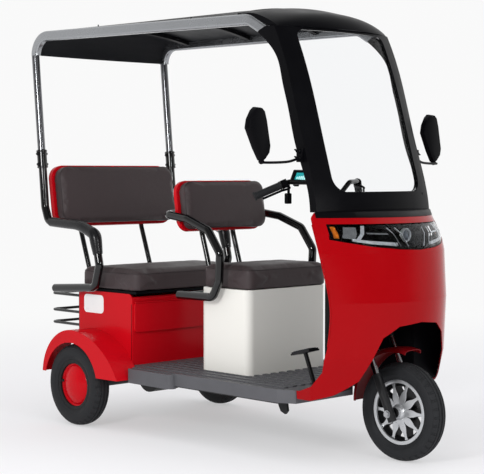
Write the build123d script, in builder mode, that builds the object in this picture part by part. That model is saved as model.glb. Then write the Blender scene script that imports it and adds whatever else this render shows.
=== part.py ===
from build123d import *
from math import cos, radians, sin, tan
import os

# Roofed electric passenger tricycle: one wheel in front, two behind.
# Millimetres, +X forward, +Y to the rider's left, +Z up, floor at z = 0.
os.makedirs("parts", exist_ok=True)

# Wheels and stance
wheelbase = 1628.0
rear_track = 915.0
front_tyre_radius = 207.5
front_tyre_width = 86.0
front_rim_radius = 137.0
rear_tyre_radius = 195.0
rear_tyre_width = 90.0
rear_rim_radius = 118.0
rear_reach = 412.0  # rear axle back to the roof's rear edge
running_clearance = 0.1  # between a turning piece and what carries it
seat_gap = 0.3  # between a soft or bolted piece and its seat

# The bounding box is centred on x = 0, which places both axles.
rear_axle_x = -(wheelbase + front_tyre_radius - rear_reach) / 2
front_axle_x = rear_axle_x + wheelbase

# Steering
rake = 25.0  # degrees, steering axis from vertical
steering_axis_up = (-sin(radians(rake)), 0, cos(radians(rake)))
steering = Plane(
    origin=(front_axle_x, 0, front_tyre_radius),
    x_dir=(cos(radians(rake)), 0, sin(radians(rake))),
    z_dir=steering_axis_up,
)
fork_leg_y = 85.0
fork_leg_radius = 19.0
stanchion_radius = 13.5
stem_radius = 17.0
yoke_height = 372.0  # along the steering axis, above the front axle
yoke_thickness = 26.0
head_tube_length = 150.0
head_tube_radius = 26.0
stem_length = 1005.0
front_spindle_radius = 6.0
clamp_depth = 26.0

# Chassis
frame_rail_y = 200.0
frame_rail_width = 40.0
frame_rail_height = 50.0
cross_depth = 30.0
cross_half_width = 345.0
deck_z = 308.0
deck_thickness = 10.0
frame_top_z = deck_z - deck_thickness - seat_gap
frame_rear_x = rear_axle_x - 260
frame_front_x = rear_axle_x + 1275
tube_radius = 20.0
post_radius = 19.0
thin_tube_radius = 12.0

# Floor deck: it reaches past the bench, and the steps past it
deck_overhang = 45.0
step_overhang = 28.0
deck_rear_x = rear_axle_x + 306
deck_front_x = rear_axle_x + 1372
deck_skirt_depth = 56.0
step_front_x = rear_axle_x + 650
step_depth = 70.0
rib_height = 5.0
rib_width = 26.0
rib_pitch = 52.0
deck_wall = 8.0
neck_slot_length = 130.0
neck_slot_width = 60.0

# Bench
guard_front_x = rear_axle_x + 352
bench_rear_x = rear_axle_x - 105
bench_front_x = rear_axle_x + 300
bench_half_width = 375.0
deck_half_width = bench_half_width + deck_overhang
step_half_width = deck_half_width + step_overhang
bench_top_z = 640.0
bench_wall = 5.0
lid_thickness = 12.0
cushion_half_width = 388.0
cushion_height = 98.0

# Driver's seat box
box_rear_x = rear_axle_x + 640
box_front_x = rear_axle_x + 955
box_half_width = 255.0
box_top_z = 690.0
box_wall = 5.0
box_corner = 38.0
driver_cushion_height = 104.0

# Roof and windscreen
roof_half_width = 437.0  # outer faces of the side rails at the rear
pillar_half_width = 364.0  # outer faces of the pillars, to which the rails run in
rail_band = 48.0
rail_width = 34.0
roof_top_z = 1944.0
rail_end_z = roof_top_z - 154
rail_rear_z = roof_top_z - 62  # centre of the rail at its rear bend and at its front bend
rail_front_z = roof_top_z - 82
roof_skin = 7.0
header_rear_run = 1000.0  # from the rear axle
seam_low = (rear_axle_x + 1122.8, roof_top_z - 138.6)  # slanted joint between rail and pillar
seam_high = (rear_axle_x + 1164.1, roof_top_z - 119.3)
screen_top_z = roof_top_z - 119
screen_wall = 24.0
pillar_wall = 24.0
glass_thickness = 5.0

# Front shell
shell_wall = 5.0
arch_top_z = 592.0


def wheel_plane(x, y, z):
    """Plane through a wheel's axle: local x along +Y, local y upwards."""
    return Plane(origin=(x, y, z), x_dir=(0, 1, 0), z_dir=(1, 0, 0))


# Tyre sections, as (distance from the mid-plane / half width, share of the sidewall's height)
tyre_outline = (
    (0.62, 0.0),
    (0.62, 0.13),
    (1.0, 0.5),
    (0.66, 1.0),
)


def tyre_points(bead_radius, outer_radius, width):
    """Closed outline of one tyre's section in its wheel plane."""
    height = outer_radius - bead_radius
    right = [(share * width / 2, bead_radius + up * height) for share, up in tyre_outline]
    left = [(-u, v) for u, v in reversed(right)]
    return right + left


# Front wheel: cast rim with ten petal spokes
front_wheel = wheel_plane(front_axle_x, 0, front_tyre_radius)
front_axle = Axis((front_axle_x, 0, front_tyre_radius), (0, 1, 0))
front_bead = front_rim_radius - 9
front_hub_half = 62.0
front_hub_radius = 30.0
spoke_count = 10

with BuildPart() as front_tyre:
    with BuildSketch(front_wheel):
        Polygon(*tyre_points(front_bead, front_tyre_radius, front_tyre_width), align=None)
    revolve(axis=front_axle)
front_tyre.part.label = "front_tyre"


def rim_outline(bead_radius, width):
    """Closed outline of one rim barrel: flanges, bead seats and drop centre."""
    seat = bead_radius - seat_gap
    flange = bead_radius + 9
    wall = 4.0
    half = 0.62 * width / 2 + seat_gap
    well = 0.40 * half
    outer = [(half + wall, flange), (half, flange), (half, seat), (well + 9, seat), (well, seat - 13)]
    inner = [(half + wall, seat - wall), (well + 9 + wall, seat - wall), (well + wall, seat - 13 - wall)]
    left_outer = [(-u, v) for u, v in reversed(outer)]
    left_inner = [(-u, v) for u, v in inner]
    return outer + left_outer + left_inner + list(reversed(inner))


with BuildPart() as front_rim:
    with BuildSketch(front_wheel):
        Polygon(*rim_outline(front_bead, front_tyre_width), align=None)
    revolve(axis=front_axle)
    hub_face = Plane(origin=(front_axle_x, -front_hub_half, front_tyre_radius), x_dir=(1, 0, 0), z_dir=(0, 1, 0))
    with BuildSketch(hub_face):
        Circle(front_hub_radius)
    extrude(amount=2 * front_hub_half)
    web_face = hub_face.offset(front_hub_half - 7)
    with BuildSketch(web_face):
        Circle(front_bead - 8)
        with PolarLocations(front_bead - 34, spoke_count):
            RectangleRounded(46, 30, 9, mode=Mode.SUBTRACT)
    extrude(amount=14)
    with BuildSketch(hub_face):
        Circle(front_spindle_radius + running_clearance)
    extrude(amount=2 * front_hub_half, mode=Mode.SUBTRACT)
front_rim.part.label = "front_rim"

# Rear wheels: pressed rim whose outer face is domed and closes the hub
rear_spindle_radius = 12.0
rear_hub_radius = 38.0
rear_bead = rear_rim_radius - 9
rear_web_radius = rear_bead - 10
dome_low_u = 25.0  # distance of the dome's rim and crown from the wheel's mid-plane
dome_high_u = 44.0
dome_radius = 88.0
rear_parts = []
for side, word in ((-1, "right"), (1, "left")):
    wheel_y = side * rear_track / 2
    plane = wheel_plane(rear_axle_x, wheel_y, rear_tyre_radius)
    axle = Axis((rear_axle_x, 0, rear_tyre_radius), (0, 1, 0))
    with BuildPart() as rear_tyre:
        with BuildSketch(plane):
            Polygon(*tyre_points(rear_bead, rear_tyre_radius, rear_tyre_width), align=None)
        revolve(axis=axle)
    rear_tyre.part.label = "rear_tyre_" + word
    rear_parts.append(rear_tyre.part)

    # The hub opens inwards over the spindle.
    with BuildPart() as rear_rim:
        with BuildSketch(plane):
            Polygon(*rim_outline(rear_bead, rear_tyre_width), align=None)
        revolve(axis=axle)
        with BuildSketch(plane):
            with BuildLine():
                bore = rear_spindle_radius + running_clearance
                Polyline(
                    (side * dome_low_u, dome_radius),
                    (side * 14, rear_web_radius),
                    (side * 4, rear_web_radius),
                    (side * 4, rear_hub_radius),
                    (-side * 34, rear_hub_radius),
                    (-side * 34, bore),
                    (side * 14, bore),
                    (side * 14, 0),
                    (side * dome_high_u, 0),
                )
                ThreePointArc(
                    (side * dome_high_u, 0),
                    (side * (dome_low_u + 0.78 * (dome_high_u - dome_low_u)), dome_radius / 2),
                    (side * dome_low_u, dome_radius),
                )
            make_face()
        revolve(axis=axle)
    rear_rim.part.label = "rear_rim_" + word
    rear_parts.append(rear_rim.part)

# Rear axle: tube, brake drums and spindles, with the drive unit in the middle
axle_tube_radius = 26.0
drum_radius = 78.0
drum_inner_y = 372.0
drum_outer_y = 412.0
spindle_end_y = rear_track / 2 + 12
axle_mid = Plane(origin=(rear_axle_x, 0, rear_tyre_radius), x_dir=(1, 0, 0), z_dir=(0, 1, 0))
with BuildPart() as rear_axle:
    for radius, from_y, to_y in (
        (axle_tube_radius, 0, drum_inner_y),
        (drum_radius, drum_inner_y, drum_outer_y),
        (rear_spindle_radius, drum_outer_y, spindle_end_y),
    ):
        for side in (-1, 1):
            with BuildSketch(axle_mid.offset(side * from_y)):
                Circle(radius)
            extrude(amount=side * (to_y - from_y))
rear_axle.part.label = "rear_axle"

motor_radius = 84.0
motor_length = 170.0
motor_y = 60.0
with BuildPart() as drive_motor:
    with BuildSketch(axle_mid.offset(motor_y - motor_length / 2)):
        Circle(motor_radius)
        Circle(axle_tube_radius + seat_gap, mode=Mode.SUBTRACT)
    extrude(amount=motor_length)
drive_motor.part.label = "drive_motor"

# Leaf springs on saddles over the axle tube, their ends under the frame's hangers
leaf_width = 45.0
leaf_y = 255.0
leaf_table = ((90, 0), (150, 1), (240, 2))  # half length, leaf number from below
leaf_thickness = 7.0
saddle_thickness = 5.0
saddle_z = rear_tyre_radius + axle_tube_radius + seat_gap
spring_top_z = saddle_z + saddle_thickness + 3 * leaf_thickness
with BuildPart() as leaf_springs:
    for side in (-1, 1):
        with BuildSketch(Plane.XZ.offset(-side * leaf_y)):
            with Locations((rear_axle_x, saddle_z + saddle_thickness / 2)):
                Rectangle(70, saddle_thickness)
            for half, number in leaf_table:
                with Locations((rear_axle_x, saddle_z + saddle_thickness + (number + 0.5) * leaf_thickness)):
                    Rectangle(2 * half, leaf_thickness)
        extrude(amount=leaf_width / 2, both=True)
leaf_springs.part.label = "leaf_springs"

# Chassis: two box rails, cross members, neck and head tube
cross_members = (-255, 225, 420, 700, 960, 1235)  # rear face of each, from the rear axle
neck_points = (
    (frame_front_x - 20, 0, frame_top_z - 25),
    (rear_axle_x + 1308, 0, frame_top_z + 40),
    (rear_axle_x + 1316, 0, 500),
    (rear_axle_x + 1405, 0, 640),
)
head_low = 455.0  # along the steering axis
with BuildPart() as chassis_frame:
    for side in (-1, 1):
        with BuildSketch(Plane.YZ.offset(frame_rear_x)):
            with Locations((side * frame_rail_y, frame_top_z - frame_rail_height / 2)):
                Rectangle(frame_rail_width, frame_rail_height)
        extrude(amount=frame_front_x - frame_rear_x)
    for station in cross_members:
        with BuildSketch(Plane.YZ.offset(rear_axle_x + station)):
            with Locations((0, frame_top_z - cross_depth / 2)):
                Rectangle(2 * cross_half_width, cross_depth)
        extrude(amount=cross_depth)
        if station < 300:
            with BuildSketch(Plane.XY.offset(frame_top_z - cross_depth)):
                with GridLocations(0, 2 * leaf_y, 1, 2):
                    with Locations((rear_axle_x + station + cross_depth / 2, 0)):
                        Rectangle(cross_depth, leaf_width)
            extrude(amount=-(frame_top_z - cross_depth - spring_top_z - seat_gap))
    with BuildLine() as neck_line:
        FilletPolyline(*neck_points, radius=45)
    with BuildSketch(Plane(origin=neck_line.line @ 0, z_dir=neck_line.line % 0)):
        Circle(22)
    sweep()
    with BuildSketch(steering.offset(head_low)):
        Circle(head_tube_radius)
    extrude(amount=head_tube_length)
    with BuildSketch(steering.offset(head_low - 1)):
        Circle(stem_radius + running_clearance)
    extrude(amount=head_tube_length + 60, mode=Mode.SUBTRACT)
chassis_frame.part.label = "chassis_frame"

# Floor deck with ribs, skirt and the side steps beside the bench
deck_taper = 76.0  # length over which the front narrows to the toe
toe_half_width = 384.0


def deck_plan(inset):
    """Plan of the deck, drawn in by its wall."""
    front = deck_front_x - inset
    wide = deck_half_width - inset
    toe = toe_half_width - inset
    return (
        (deck_rear_x, -wide),
        (front - deck_taper, -wide),
        (front, -toe),
        (front, toe),
        (front - deck_taper, wide),
        (deck_rear_x, wide),
    )


with BuildPart() as floor_deck:
    with BuildSketch(Plane.XY.offset(deck_z - deck_skirt_depth)):
        Polygon(*deck_plan(0), align=None)
    extrude(amount=deck_skirt_depth)
    with BuildSketch(Plane.XY.offset(deck_z - step_depth)):
        with Locations(((deck_rear_x + step_front_x) / 2, 0)):
            RectangleRounded(step_front_x - deck_rear_x, 2 * step_half_width, 30)
    extrude(amount=step_depth - 4)
    with BuildSketch(Plane.XY.offset(deck_z - deck_thickness)):
        Polygon(*deck_plan(deck_wall), align=None)
    extrude(amount=-step_depth, mode=Mode.SUBTRACT)
    with BuildSketch(Plane.XY.offset(deck_z)):
        with Locations(((deck_rear_x + deck_front_x) / 2, 0)):
            with GridLocations(0, rib_pitch, 1, 15):
                Rectangle(deck_front_x - deck_rear_x - 2 * deck_taper, rib_width)
    extrude(amount=rib_height)
    # Corners taken by the rear mudguards, and the slot for the neck
    with BuildSketch(Plane.XY.offset(deck_z - step_depth)):
        with Locations((deck_rear_x, deck_half_width), (deck_rear_x, -deck_half_width)):
            Rectangle(2 * (guard_front_x + 5 - deck_rear_x), 2 * (deck_overhang + 5))
        with Locations((deck_front_x - neck_slot_length / 2, 0)):
            Rectangle(neck_slot_length, neck_slot_width)
    extrude(amount=step_depth + rib_height, mode=Mode.SUBTRACT)
    # Room for the white box, which stands on the deck between the ribs
    with BuildSketch(Plane.XY.offset(deck_z)):
        with Locations(((box_rear_x + box_front_x) / 2, 0)):
            Rectangle(box_front_x - box_rear_x + 4, 2 * box_half_width + 4)
    extrude(amount=rib_height, mode=Mode.SUBTRACT)
floor_deck.part.label = "floor_deck"

# Bench box: open-topped red storage box on the chassis rails
with BuildPart() as bench_box:
    with BuildSketch(Plane.XZ.offset(-bench_half_width)):
        with BuildLine():
            Polyline(
                (bench_rear_x, frame_top_z),
                (bench_front_x, frame_top_z),
                (bench_front_x, bench_top_z - 30),
            )
            RadiusArc((bench_front_x, bench_top_z - 30), (bench_front_x - 30, bench_top_z), -30)
            Polyline(
                (bench_front_x - 30, bench_top_z),
                (bench_rear_x, bench_top_z),
                (bench_rear_x, frame_top_z),
            )
        make_face()
    extrude(amount=2 * bench_half_width)
    with BuildSketch(Plane.XY.offset(frame_top_z + bench_wall)):
        with Locations(((bench_rear_x + bench_front_x) / 2, 0)):
            Rectangle(bench_front_x - bench_rear_x - 2 * bench_wall, 2 * (bench_half_width - bench_wall))
    extrude(amount=bench_top_z, mode=Mode.SUBTRACT)
bench_box.part.label = "bench_box"

panel_low_z = 462.0
panel_high_z = 622.0
with BuildPart() as bench_panel:
    with BuildSketch(Plane.YZ.offset(bench_front_x + seat_gap)):
        with Locations((0, (panel_low_z + panel_high_z - 22) / 2)):
            RectangleRounded(2 * bench_half_width - 14, panel_high_z - 22 - panel_low_z, 16)
    extrude(amount=12)
bench_panel.part.label = "bench_front_panel"

# Rear panel and the three guard hoops behind the bench
rack_depth = 250.0
rack_half_width = 350.0
hoop_radius = 7.0
hoop_heights = (463, 525, 607)
rear_panel_top_z = 618.0
rear_panel_wall = 5.0
hinge_radius = 7.0
hinge_pin_radius = 3.0
hinge_x = bench_rear_x - hinge_radius - 2
hinge_z = bench_top_z + seat_gap + lid_thickness / 2
hinge_y = 230.0
knuckle_length = 60.0
with BuildPart() as rear_panel:
    with BuildSketch(Plane.YZ.offset(bench_rear_x - seat_gap)):
        with Locations((0, (frame_top_z + rear_panel_top_z) / 2 + 4)):
            Rectangle(2 * bench_half_width - 10, rear_panel_top_z - frame_top_z - 8)
    extrude(amount=-rear_panel_wall)
    # Each lid hinge: a pin between two ears that rise from the panel
    for side in (-1, 1):
        with BuildSketch(Plane.XZ.offset(-(side * hinge_y + knuckle_length / 2 + 9))):
            with Locations((hinge_x, hinge_z)):
                Circle(hinge_pin_radius)
        extrude(amount=knuckle_length + 18)
        for end in (-1, 1):
            with BuildSketch(Plane.XZ.offset(-(side * hinge_y + end * (knuckle_length / 2 + 5)))):
                with Locations((hinge_x, hinge_z)):
                    Circle(hinge_radius)
                with Locations((hinge_x, hinge_z - 24)):
                    Rectangle(8, 48)
            extrude(amount=3, both=True)
rear_panel.part.label = "rear_panel"

rack_x = bench_rear_x - rear_panel_wall - 2 * seat_gap
with BuildPart() as rear_rack:
    for height in hoop_heights:
        with BuildLine() as hoop:
            FilletPolyline(
                (rack_x, -rack_half_width, height),
                (rack_x - rack_depth, -rack_half_width, height),
                (rack_x - rack_depth, rack_half_width, height),
                (rack_x, rack_half_width, height),
                radius=30,
            )
        with BuildSketch(Plane(origin=hoop.line @ 0, z_dir=hoop.line % 0)):
            Circle(hoop_radius)
        sweep()
    for side in (-1, 1):
        with BuildSketch(Plane.XY.offset(hoop_heights[0] - 30)):
            with Locations((rack_x - 9, side * rack_half_width)):
                Rectangle(18, 20)
        extrude(amount=hoop_heights[-1] - hoop_heights[0] + 50)
rear_rack.part.label = "rear_rack"

with BuildPart() as tail_lamps:
    for side in (-1, 1):
        with BuildSketch(Plane.YZ.offset(rack_x)):
            with Locations((side * 300, 385)):
                RectangleRounded(90, 70, 14)
        extrude(amount=-70)
tail_lamps.part.label = "tail_lamps"

# Rear mudguards: one side outline, hollow towards the wheel
guard_top_z = 458.0
guard_outer_y = 512.0
guard_wall = 4.0
guard_rear = (rear_axle_x - 222, 245.0)
guard_front = (guard_front_x, 250.0)


def guard_outline(inset):
    """Side outline of a rear mudguard, drawn in by the wall."""
    with BuildSketch(Plane.XZ, mode=Mode.PRIVATE) as outline:
        with BuildLine():
            rear = (guard_rear[0] + inset, guard_rear[1])
            front = (guard_front[0] - inset, guard_front[1])
            top = (rear_axle_x + 35, guard_top_z - inset)
            ThreePointArc(rear, (rear_axle_x - 142 + 0.7 * inset, 405 - 0.7 * inset), top)
            ThreePointArc(top, (rear_axle_x + 222 - 0.7 * inset, 392 - 0.7 * inset), front)
            Line(front, rear)
        make_face()
    return outline.sketch


with BuildPart() as rear_fenders:
    for side in (-1, 1):
        inner_y = bench_half_width + seat_gap
        with BuildSketch(Plane.XZ.offset(-side * inner_y)):
            add(guard_outline(0))
        extrude(amount=-side * (guard_outer_y - inner_y))
        with BuildSketch(Plane.XZ.offset(-side * (inner_y - 1))):
            add(guard_outline(guard_wall))
        extrude(amount=-side * (guard_outer_y - guard_wall - inner_y + 1), mode=Mode.SUBTRACT)
        with BuildSketch(Plane.XZ.offset(-side * inner_y)):
            with Locations((rear_axle_x, rear_tyre_radius)):
                Circle(rear_tyre_radius + 9)
        extrude(amount=-side * 200, mode=Mode.SUBTRACT)
rear_fenders.part.label = "rear_fenders"

# Bench lid on its rear hinge, and the cushion on it
with BuildPart() as bench_lid:
    with BuildSketch(Plane.XY.offset(bench_top_z + seat_gap)):
        with Locations(((bench_rear_x + bench_front_x + 22) / 2, 0)):
            Rectangle(bench_front_x + 22 - bench_rear_x, 2 * (bench_half_width - 5))
        with GridLocations(0, 2 * hinge_y, 1, 2):
            with Locations(((hinge_x + bench_rear_x) / 2, 0)):
                Rectangle(bench_rear_x - hinge_x + 2, knuckle_length)
    extrude(amount=lid_thickness)
    for side in (-1, 1):
        with BuildSketch(Plane.XZ.offset(-(side * hinge_y + knuckle_length / 2))):
            with Locations((hinge_x, hinge_z)):
                Circle(hinge_radius)
        extrude(amount=knuckle_length)
    with BuildSketch(Plane.XZ.offset(-bench_half_width)):
        with Locations((hinge_x, hinge_z)):
            Circle(hinge_pin_radius + 0.05)
    extrude(amount=2 * bench_half_width, mode=Mode.SUBTRACT)
bench_lid.part.label = "bench_lid"

cushion_z = bench_top_z + seat_gap + lid_thickness + seat_gap
with BuildPart() as bench_cushion:
    with BuildSketch(Plane.XY.offset(cushion_z)):
        with Locations(((bench_rear_x + bench_front_x + 40) / 2, 0)):
            RectangleRounded(bench_front_x + 40 - bench_rear_x, 2 * cushion_half_width, 45)
    extrude(amount=cushion_height)
    fillet(bench_cushion.faces().sort_by(Axis.Z)[-1].edges(), radius=26)
bench_cushion.part.label = "bench_cushion"

# Both backrests lean back and rest on thin tubes behind them
back_lean = 8.0
bench_back = Plane(
    origin=(rear_axle_x - 332, 0, 1090),
    x_dir=(0, 1, 0),
    z_dir=(cos(radians(back_lean)), 0, sin(radians(back_lean))),
)
driver_back = Plane(
    origin=(rear_axle_x + 478, 0, 1052),
    x_dir=(0, 1, 0),
    z_dir=(cos(radians(back_lean)), 0, sin(radians(back_lean))),
)


def board_back_x(board_plane, height):
    """Centre of a thin tube that touches the back of a leaning backrest at a height."""
    face_x = board_plane.origin.X - (height - board_plane.origin.Z) * tan(radians(back_lean))
    return face_x - (thin_tube_radius + seat_gap) / cos(radians(back_lean))


# Bench side frames: roof post, armrest and lower run in one bent tube
arm_y = 420.0
bench_arm_runs = (
    (-319, 1040),
    (-290, 968),
    (-40, 958),
    (78, 915),
    (112, 770),
    (78, 662),
    (-240, 642),
)
back_tube_y = 200.0
collar_low_z = 1234.0
collar_high_z = 1322.0
collar_radius = 24.0
collar_seat = 10.0
post_foot = Vector(rear_axle_x - 338, 0, collar_low_z)
post_head = Vector(rear_axle_x - 392, 0, rail_end_z)
post_line = (post_head - post_foot).normalized()
bench_cross_x = rear_axle_x - 240
with BuildPart() as bench_frame:
    for side in (-1, 1):
        post_plane = Plane(origin=post_foot + Vector(0, side * arm_y, 0), z_dir=post_line)
        points = [tuple(post_plane.origin)]
        points += [(rear_axle_x + x, side * arm_y, z) for x, z in bench_arm_runs]
        with BuildLine() as arm:
            FilletPolyline(*points, radius=38)
        with BuildSketch(Plane(origin=arm.line @ 0, z_dir=arm.line % 0)):
            Circle(tube_radius)
        sweep()
        with BuildSketch(post_plane):
            Circle(collar_radius)
        extrude(amount=collar_high_z - collar_low_z)
        with BuildSketch(post_plane.offset(collar_seat)):
            Circle(post_radius + seat_gap)
        extrude(amount=collar_high_z - collar_low_z, mode=Mode.SUBTRACT)
        with BuildLine() as back_tube:
            FilletPolyline(
                (bench_cross_x, side * back_tube_y, frame_top_z + seat_gap),
                (bench_cross_x, side * back_tube_y, 700),
                (board_back_x(bench_back, 930), side * back_tube_y, 930),
                (board_back_x(bench_back, 1150), side * back_tube_y, 1150),
                radius=60,
            )
        with BuildSketch(Plane(origin=back_tube.line @ 0, z_dir=back_tube.line % 0)):
            Circle(thin_tube_radius)
        sweep()
    with BuildSketch(Plane.XZ.offset(-arm_y)):
        with Locations((bench_cross_x, 642)):
            Circle(thin_tube_radius)
    extrude(amount=2 * arm_y)
bench_frame.part.label = "bench_frame"

# Upper posts from the collars to the rails' rear ends
with BuildPart() as roof_posts:
    for side in (-1, 1):
        post_plane = Plane(origin=post_foot + Vector(0, side * arm_y, 0), z_dir=post_line)
        with BuildSketch(post_plane.offset(collar_seat + seat_gap)):
            Circle(post_radius)
        extrude(amount=rail_end_z - collar_low_z)
    split(bisect_by=Plane.XY.offset(rail_end_z - seat_gap), keep=Keep.BOTTOM)
roof_posts.part.label = "roof_posts"


def padded_board(plane, width, height, depth, corner, edge):
    """A rounded pad or shell panel standing on its own plane."""
    with BuildPart() as board:
        with BuildSketch(plane):
            RectangleRounded(width, height, corner)
        extrude(amount=depth)
        if edge:
            fillet(board.faces().sort_by(Axis(plane.origin, plane.z_dir))[-1].edges(), radius=edge)
    return board.part


# Bench backrest: red shell bolted to the tubes, pad in front of it
with BuildPart() as bench_back_shell:
    add(padded_board(bench_back, 760, 306, 26, 70, 0))
bench_back_shell.part.label = "bench_back_shell"
with BuildPart() as bench_back_pad:
    add(padded_board(bench_back.offset(26 + seat_gap), 748, 292, 62, 64, 24))
bench_back_pad.part.label = "bench_back_pad"

# Driver's seat: box, battery, cushion, backrest and side loop
with BuildPart() as seat_box:
    with BuildSketch(Plane.XY.offset(deck_z + seat_gap)):
        with Locations(((box_rear_x + box_front_x) / 2, 0)):
            RectangleRounded(box_front_x - box_rear_x, 2 * box_half_width, box_corner)
    extrude(amount=box_top_z - deck_z - seat_gap)
    with BuildSketch(Plane.XY.offset(deck_z)):
        with Locations(((box_rear_x + box_front_x) / 2, 0)):
            RectangleRounded(
                box_front_x - box_rear_x - 2 * box_wall,
                2 * (box_half_width - box_wall),
                box_corner - box_wall,
            )
    extrude(amount=box_top_z - deck_z - box_wall, mode=Mode.SUBTRACT)
seat_box.part.label = "seat_box"

with BuildPart() as battery_pack:
    with BuildSketch(Plane.XY.offset(deck_z + seat_gap)):
        with Locations(((box_rear_x + box_front_x) / 2, 0)):
            Rectangle(230, 400)
    extrude(amount=185)
battery_pack.part.label = "battery_pack"

driver_half_width = 266.0
with BuildPart() as driver_cushion:
    with BuildSketch(Plane.XY.offset(box_top_z + seat_gap)):
        with Locations(((box_rear_x + box_front_x + 20) / 2, 0)):
            RectangleRounded(box_front_x - box_rear_x + 20, 2 * driver_half_width, 40)
    extrude(amount=driver_cushion_height)
    fillet(driver_cushion.faces().sort_by(Axis.Z)[-1].edges(), radius=28)
driver_cushion.part.label = "driver_cushion"

driver_arm_y = 300.0
driver_tube_y = 100.0
driver_loop_runs = (
    (455, 1018),
    (600, 1000),
    (745, 950),
    (822, 850),
    (815, 725),
    (775, 652),
    (545, 650),
)
with BuildPart() as driver_frame:
    left_run = [(rear_axle_x + x, driver_arm_y, z) for x, z in driver_loop_runs]
    right_run = [(x, -y, z) for x, y, z in left_run]
    with BuildLine() as loop:
        FilletPolyline(*reversed(right_run), *left_run, radius=36)
    with BuildSketch(Plane(origin=loop.line @ 0, z_dir=loop.line % 0)):
        Circle(post_radius)
    sweep()
    with BuildSketch(Plane.XZ.offset(-driver_arm_y)):
        with Locations((rear_axle_x + 555, 650)):
            Circle(thin_tube_radius)
    extrude(amount=2 * driver_arm_y)
    for side in (-1, 1):
        with BuildLine() as driver_tube:
            FilletPolyline(
                (rear_axle_x + 555, side * driver_tube_y, deck_z + rib_height + seat_gap),
                (rear_axle_x + 555, side * driver_tube_y, 700),
                (board_back_x(driver_back, 925), side * driver_tube_y, 925),
                (board_back_x(driver_back, 1090), side * driver_tube_y, 1090),
                radius=40,
            )
        with BuildSketch(Plane(origin=driver_tube.line @ 0, z_dir=driver_tube.line % 0)):
            Circle(thin_tube_radius)
        sweep()
driver_frame.part.label = "driver_frame"

with BuildPart() as driver_back_shell:
    add(padded_board(driver_back, 530, 236, 20, 60, 0))
driver_back_shell.part.label = "driver_back_shell"
with BuildPart() as driver_back_pad:
    add(padded_board(driver_back.offset(20 + seat_gap), 520, 226, 52, 56, 20))
driver_back_pad.part.label = "driver_back_pad"

# Roof: side rails over the posts, bent down at both ends and running in towards the front
roof_rear_x = rear_axle_x - rear_reach
rail_front_x = rear_axle_x + 1066


def rail_outer_y(x):
    """Outer face of the side rails at a station."""
    share = (x - roof_rear_x) / (seam_high[0] - roof_rear_x)
    return roof_half_width - share * (roof_half_width - pillar_half_width)


def arc_band(edge, centre, half, thickness, skirt):
    """Crescent of a shell's section: one arc over its edges and middle, and one inside it."""
    across = Vector(centre[0] - edge[0], 0, centre[1] - edge[1])
    rise = across.length
    plane = Plane(
        origin=(edge[0], 0, edge[1]), x_dir=(0, 1, 0), z_dir=Vector(0, 1, 0).cross(across.normalized())
    )
    with BuildSketch(plane) as band:
        with BuildLine():
            ThreePointArc((-half, 0), (0, rise), (half, 0))
            Line((half, 0), (half, -skirt))
            ThreePointArc((half, -skirt), (0, rise - thickness), (-half, -skirt))
            Line((-half, -skirt), (-half, 0))
        make_face()
    return band.sketch


# Crowned skin between the rails, turned down at the rear
# (edge x, its drop below the top, centre x, its drop)
bend_sections = (
    (-392, 153, -411, 153),
    (-389, 112, -409, 102),
    (-368, 71, -388, 48),
    (-328, 48, -340, 12),
    (-262, 40, -262, 1),
)
run_sections = (
    (-262, 40, -262, 1),
    (0, 44, 0, 0),
    (800, 56, 800, 0),
    (header_rear_run - seat_gap, 59, header_rear_run - seat_gap, 6),
)


def roof_skin_run(sections, straight):
    """Skin between the side rails through arc sections, with straight or smooth runs."""
    with BuildPart() as run:
        for edge_x, edge_drop, centre_x, centre_drop in sections:
            half = rail_outer_y(rear_axle_x + edge_x) - rail_width - 3 * seat_gap
            edge = (rear_axle_x + edge_x, roof_top_z - edge_drop)
            centre = (rear_axle_x + centre_x, roof_top_z - centre_drop)
            add(arc_band(edge, centre, half, roof_skin, roof_skin))
        loft(ruled=straight)
    return run.part


with BuildPart() as roof_panel:
    add(roof_skin_run(bend_sections, False))
    add(roof_skin_run(run_sections, True))
roof_panel.part.label = "roof_panel"

# Side rails, joined by bowed bars under the skin: (bar's rear face, drop of its ends)
bar_table = ((-180, 57), (300, 64), (780, 71))
bar_length = 30.0
bar_depth = 18.0
with BuildPart() as roof_rails:
    for side in (-1, 1):
        stations = (
            (roof_rear_x + rail_band / 2, rail_end_z),
            (roof_rear_x + rail_band / 2, rail_rear_z),
            (rail_front_x, rail_front_z),
            (rail_front_x + 130, rail_front_z - 75),
        )
        with BuildLine() as rail:
            FilletPolyline(
                *[(x, side * (rail_outer_y(x) - rail_width / 2), z) for x, z in stations],
                radius=90,
            )
        with BuildSketch(Plane(origin=rail.line @ 0, x_dir=(0, 1, 0), z_dir=rail.line % 0)):
            RectangleRounded(rail_width, rail_band, 11)
        sweep()
    seam = Vector(seam_high[0] - seam_low[0], 0, seam_high[1] - seam_low[1])
    split(
        bisect_by=Plane(origin=(seam_low[0], 0, seam_low[1]), z_dir=Vector(0, 1, 0).cross(seam)),
        keep=Keep.BOTTOM,
    )
    for station, edge_drop in bar_table:
        bar_x = rear_axle_x + station
        edge_z = roof_top_z - edge_drop
        with BuildSketch(Plane.YZ.offset(bar_x)):
            with BuildLine():
                end_y = rail_outer_y(bar_x) - rail_width / 2
                top = roof_top_z - roof_skin - 1
                ThreePointArc((-end_y, edge_z), (0, top), (end_y, edge_z))
                Line((end_y, edge_z), (end_y, edge_z - bar_depth))
                ThreePointArc((end_y, edge_z - bar_depth), (0, top - bar_depth), (-end_y, edge_z - bar_depth))
                Line((-end_y, edge_z - bar_depth), (-end_y, edge_z))
            make_face()
        extrude(amount=bar_length)
roof_rails.part.label = "roof_rails"

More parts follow.
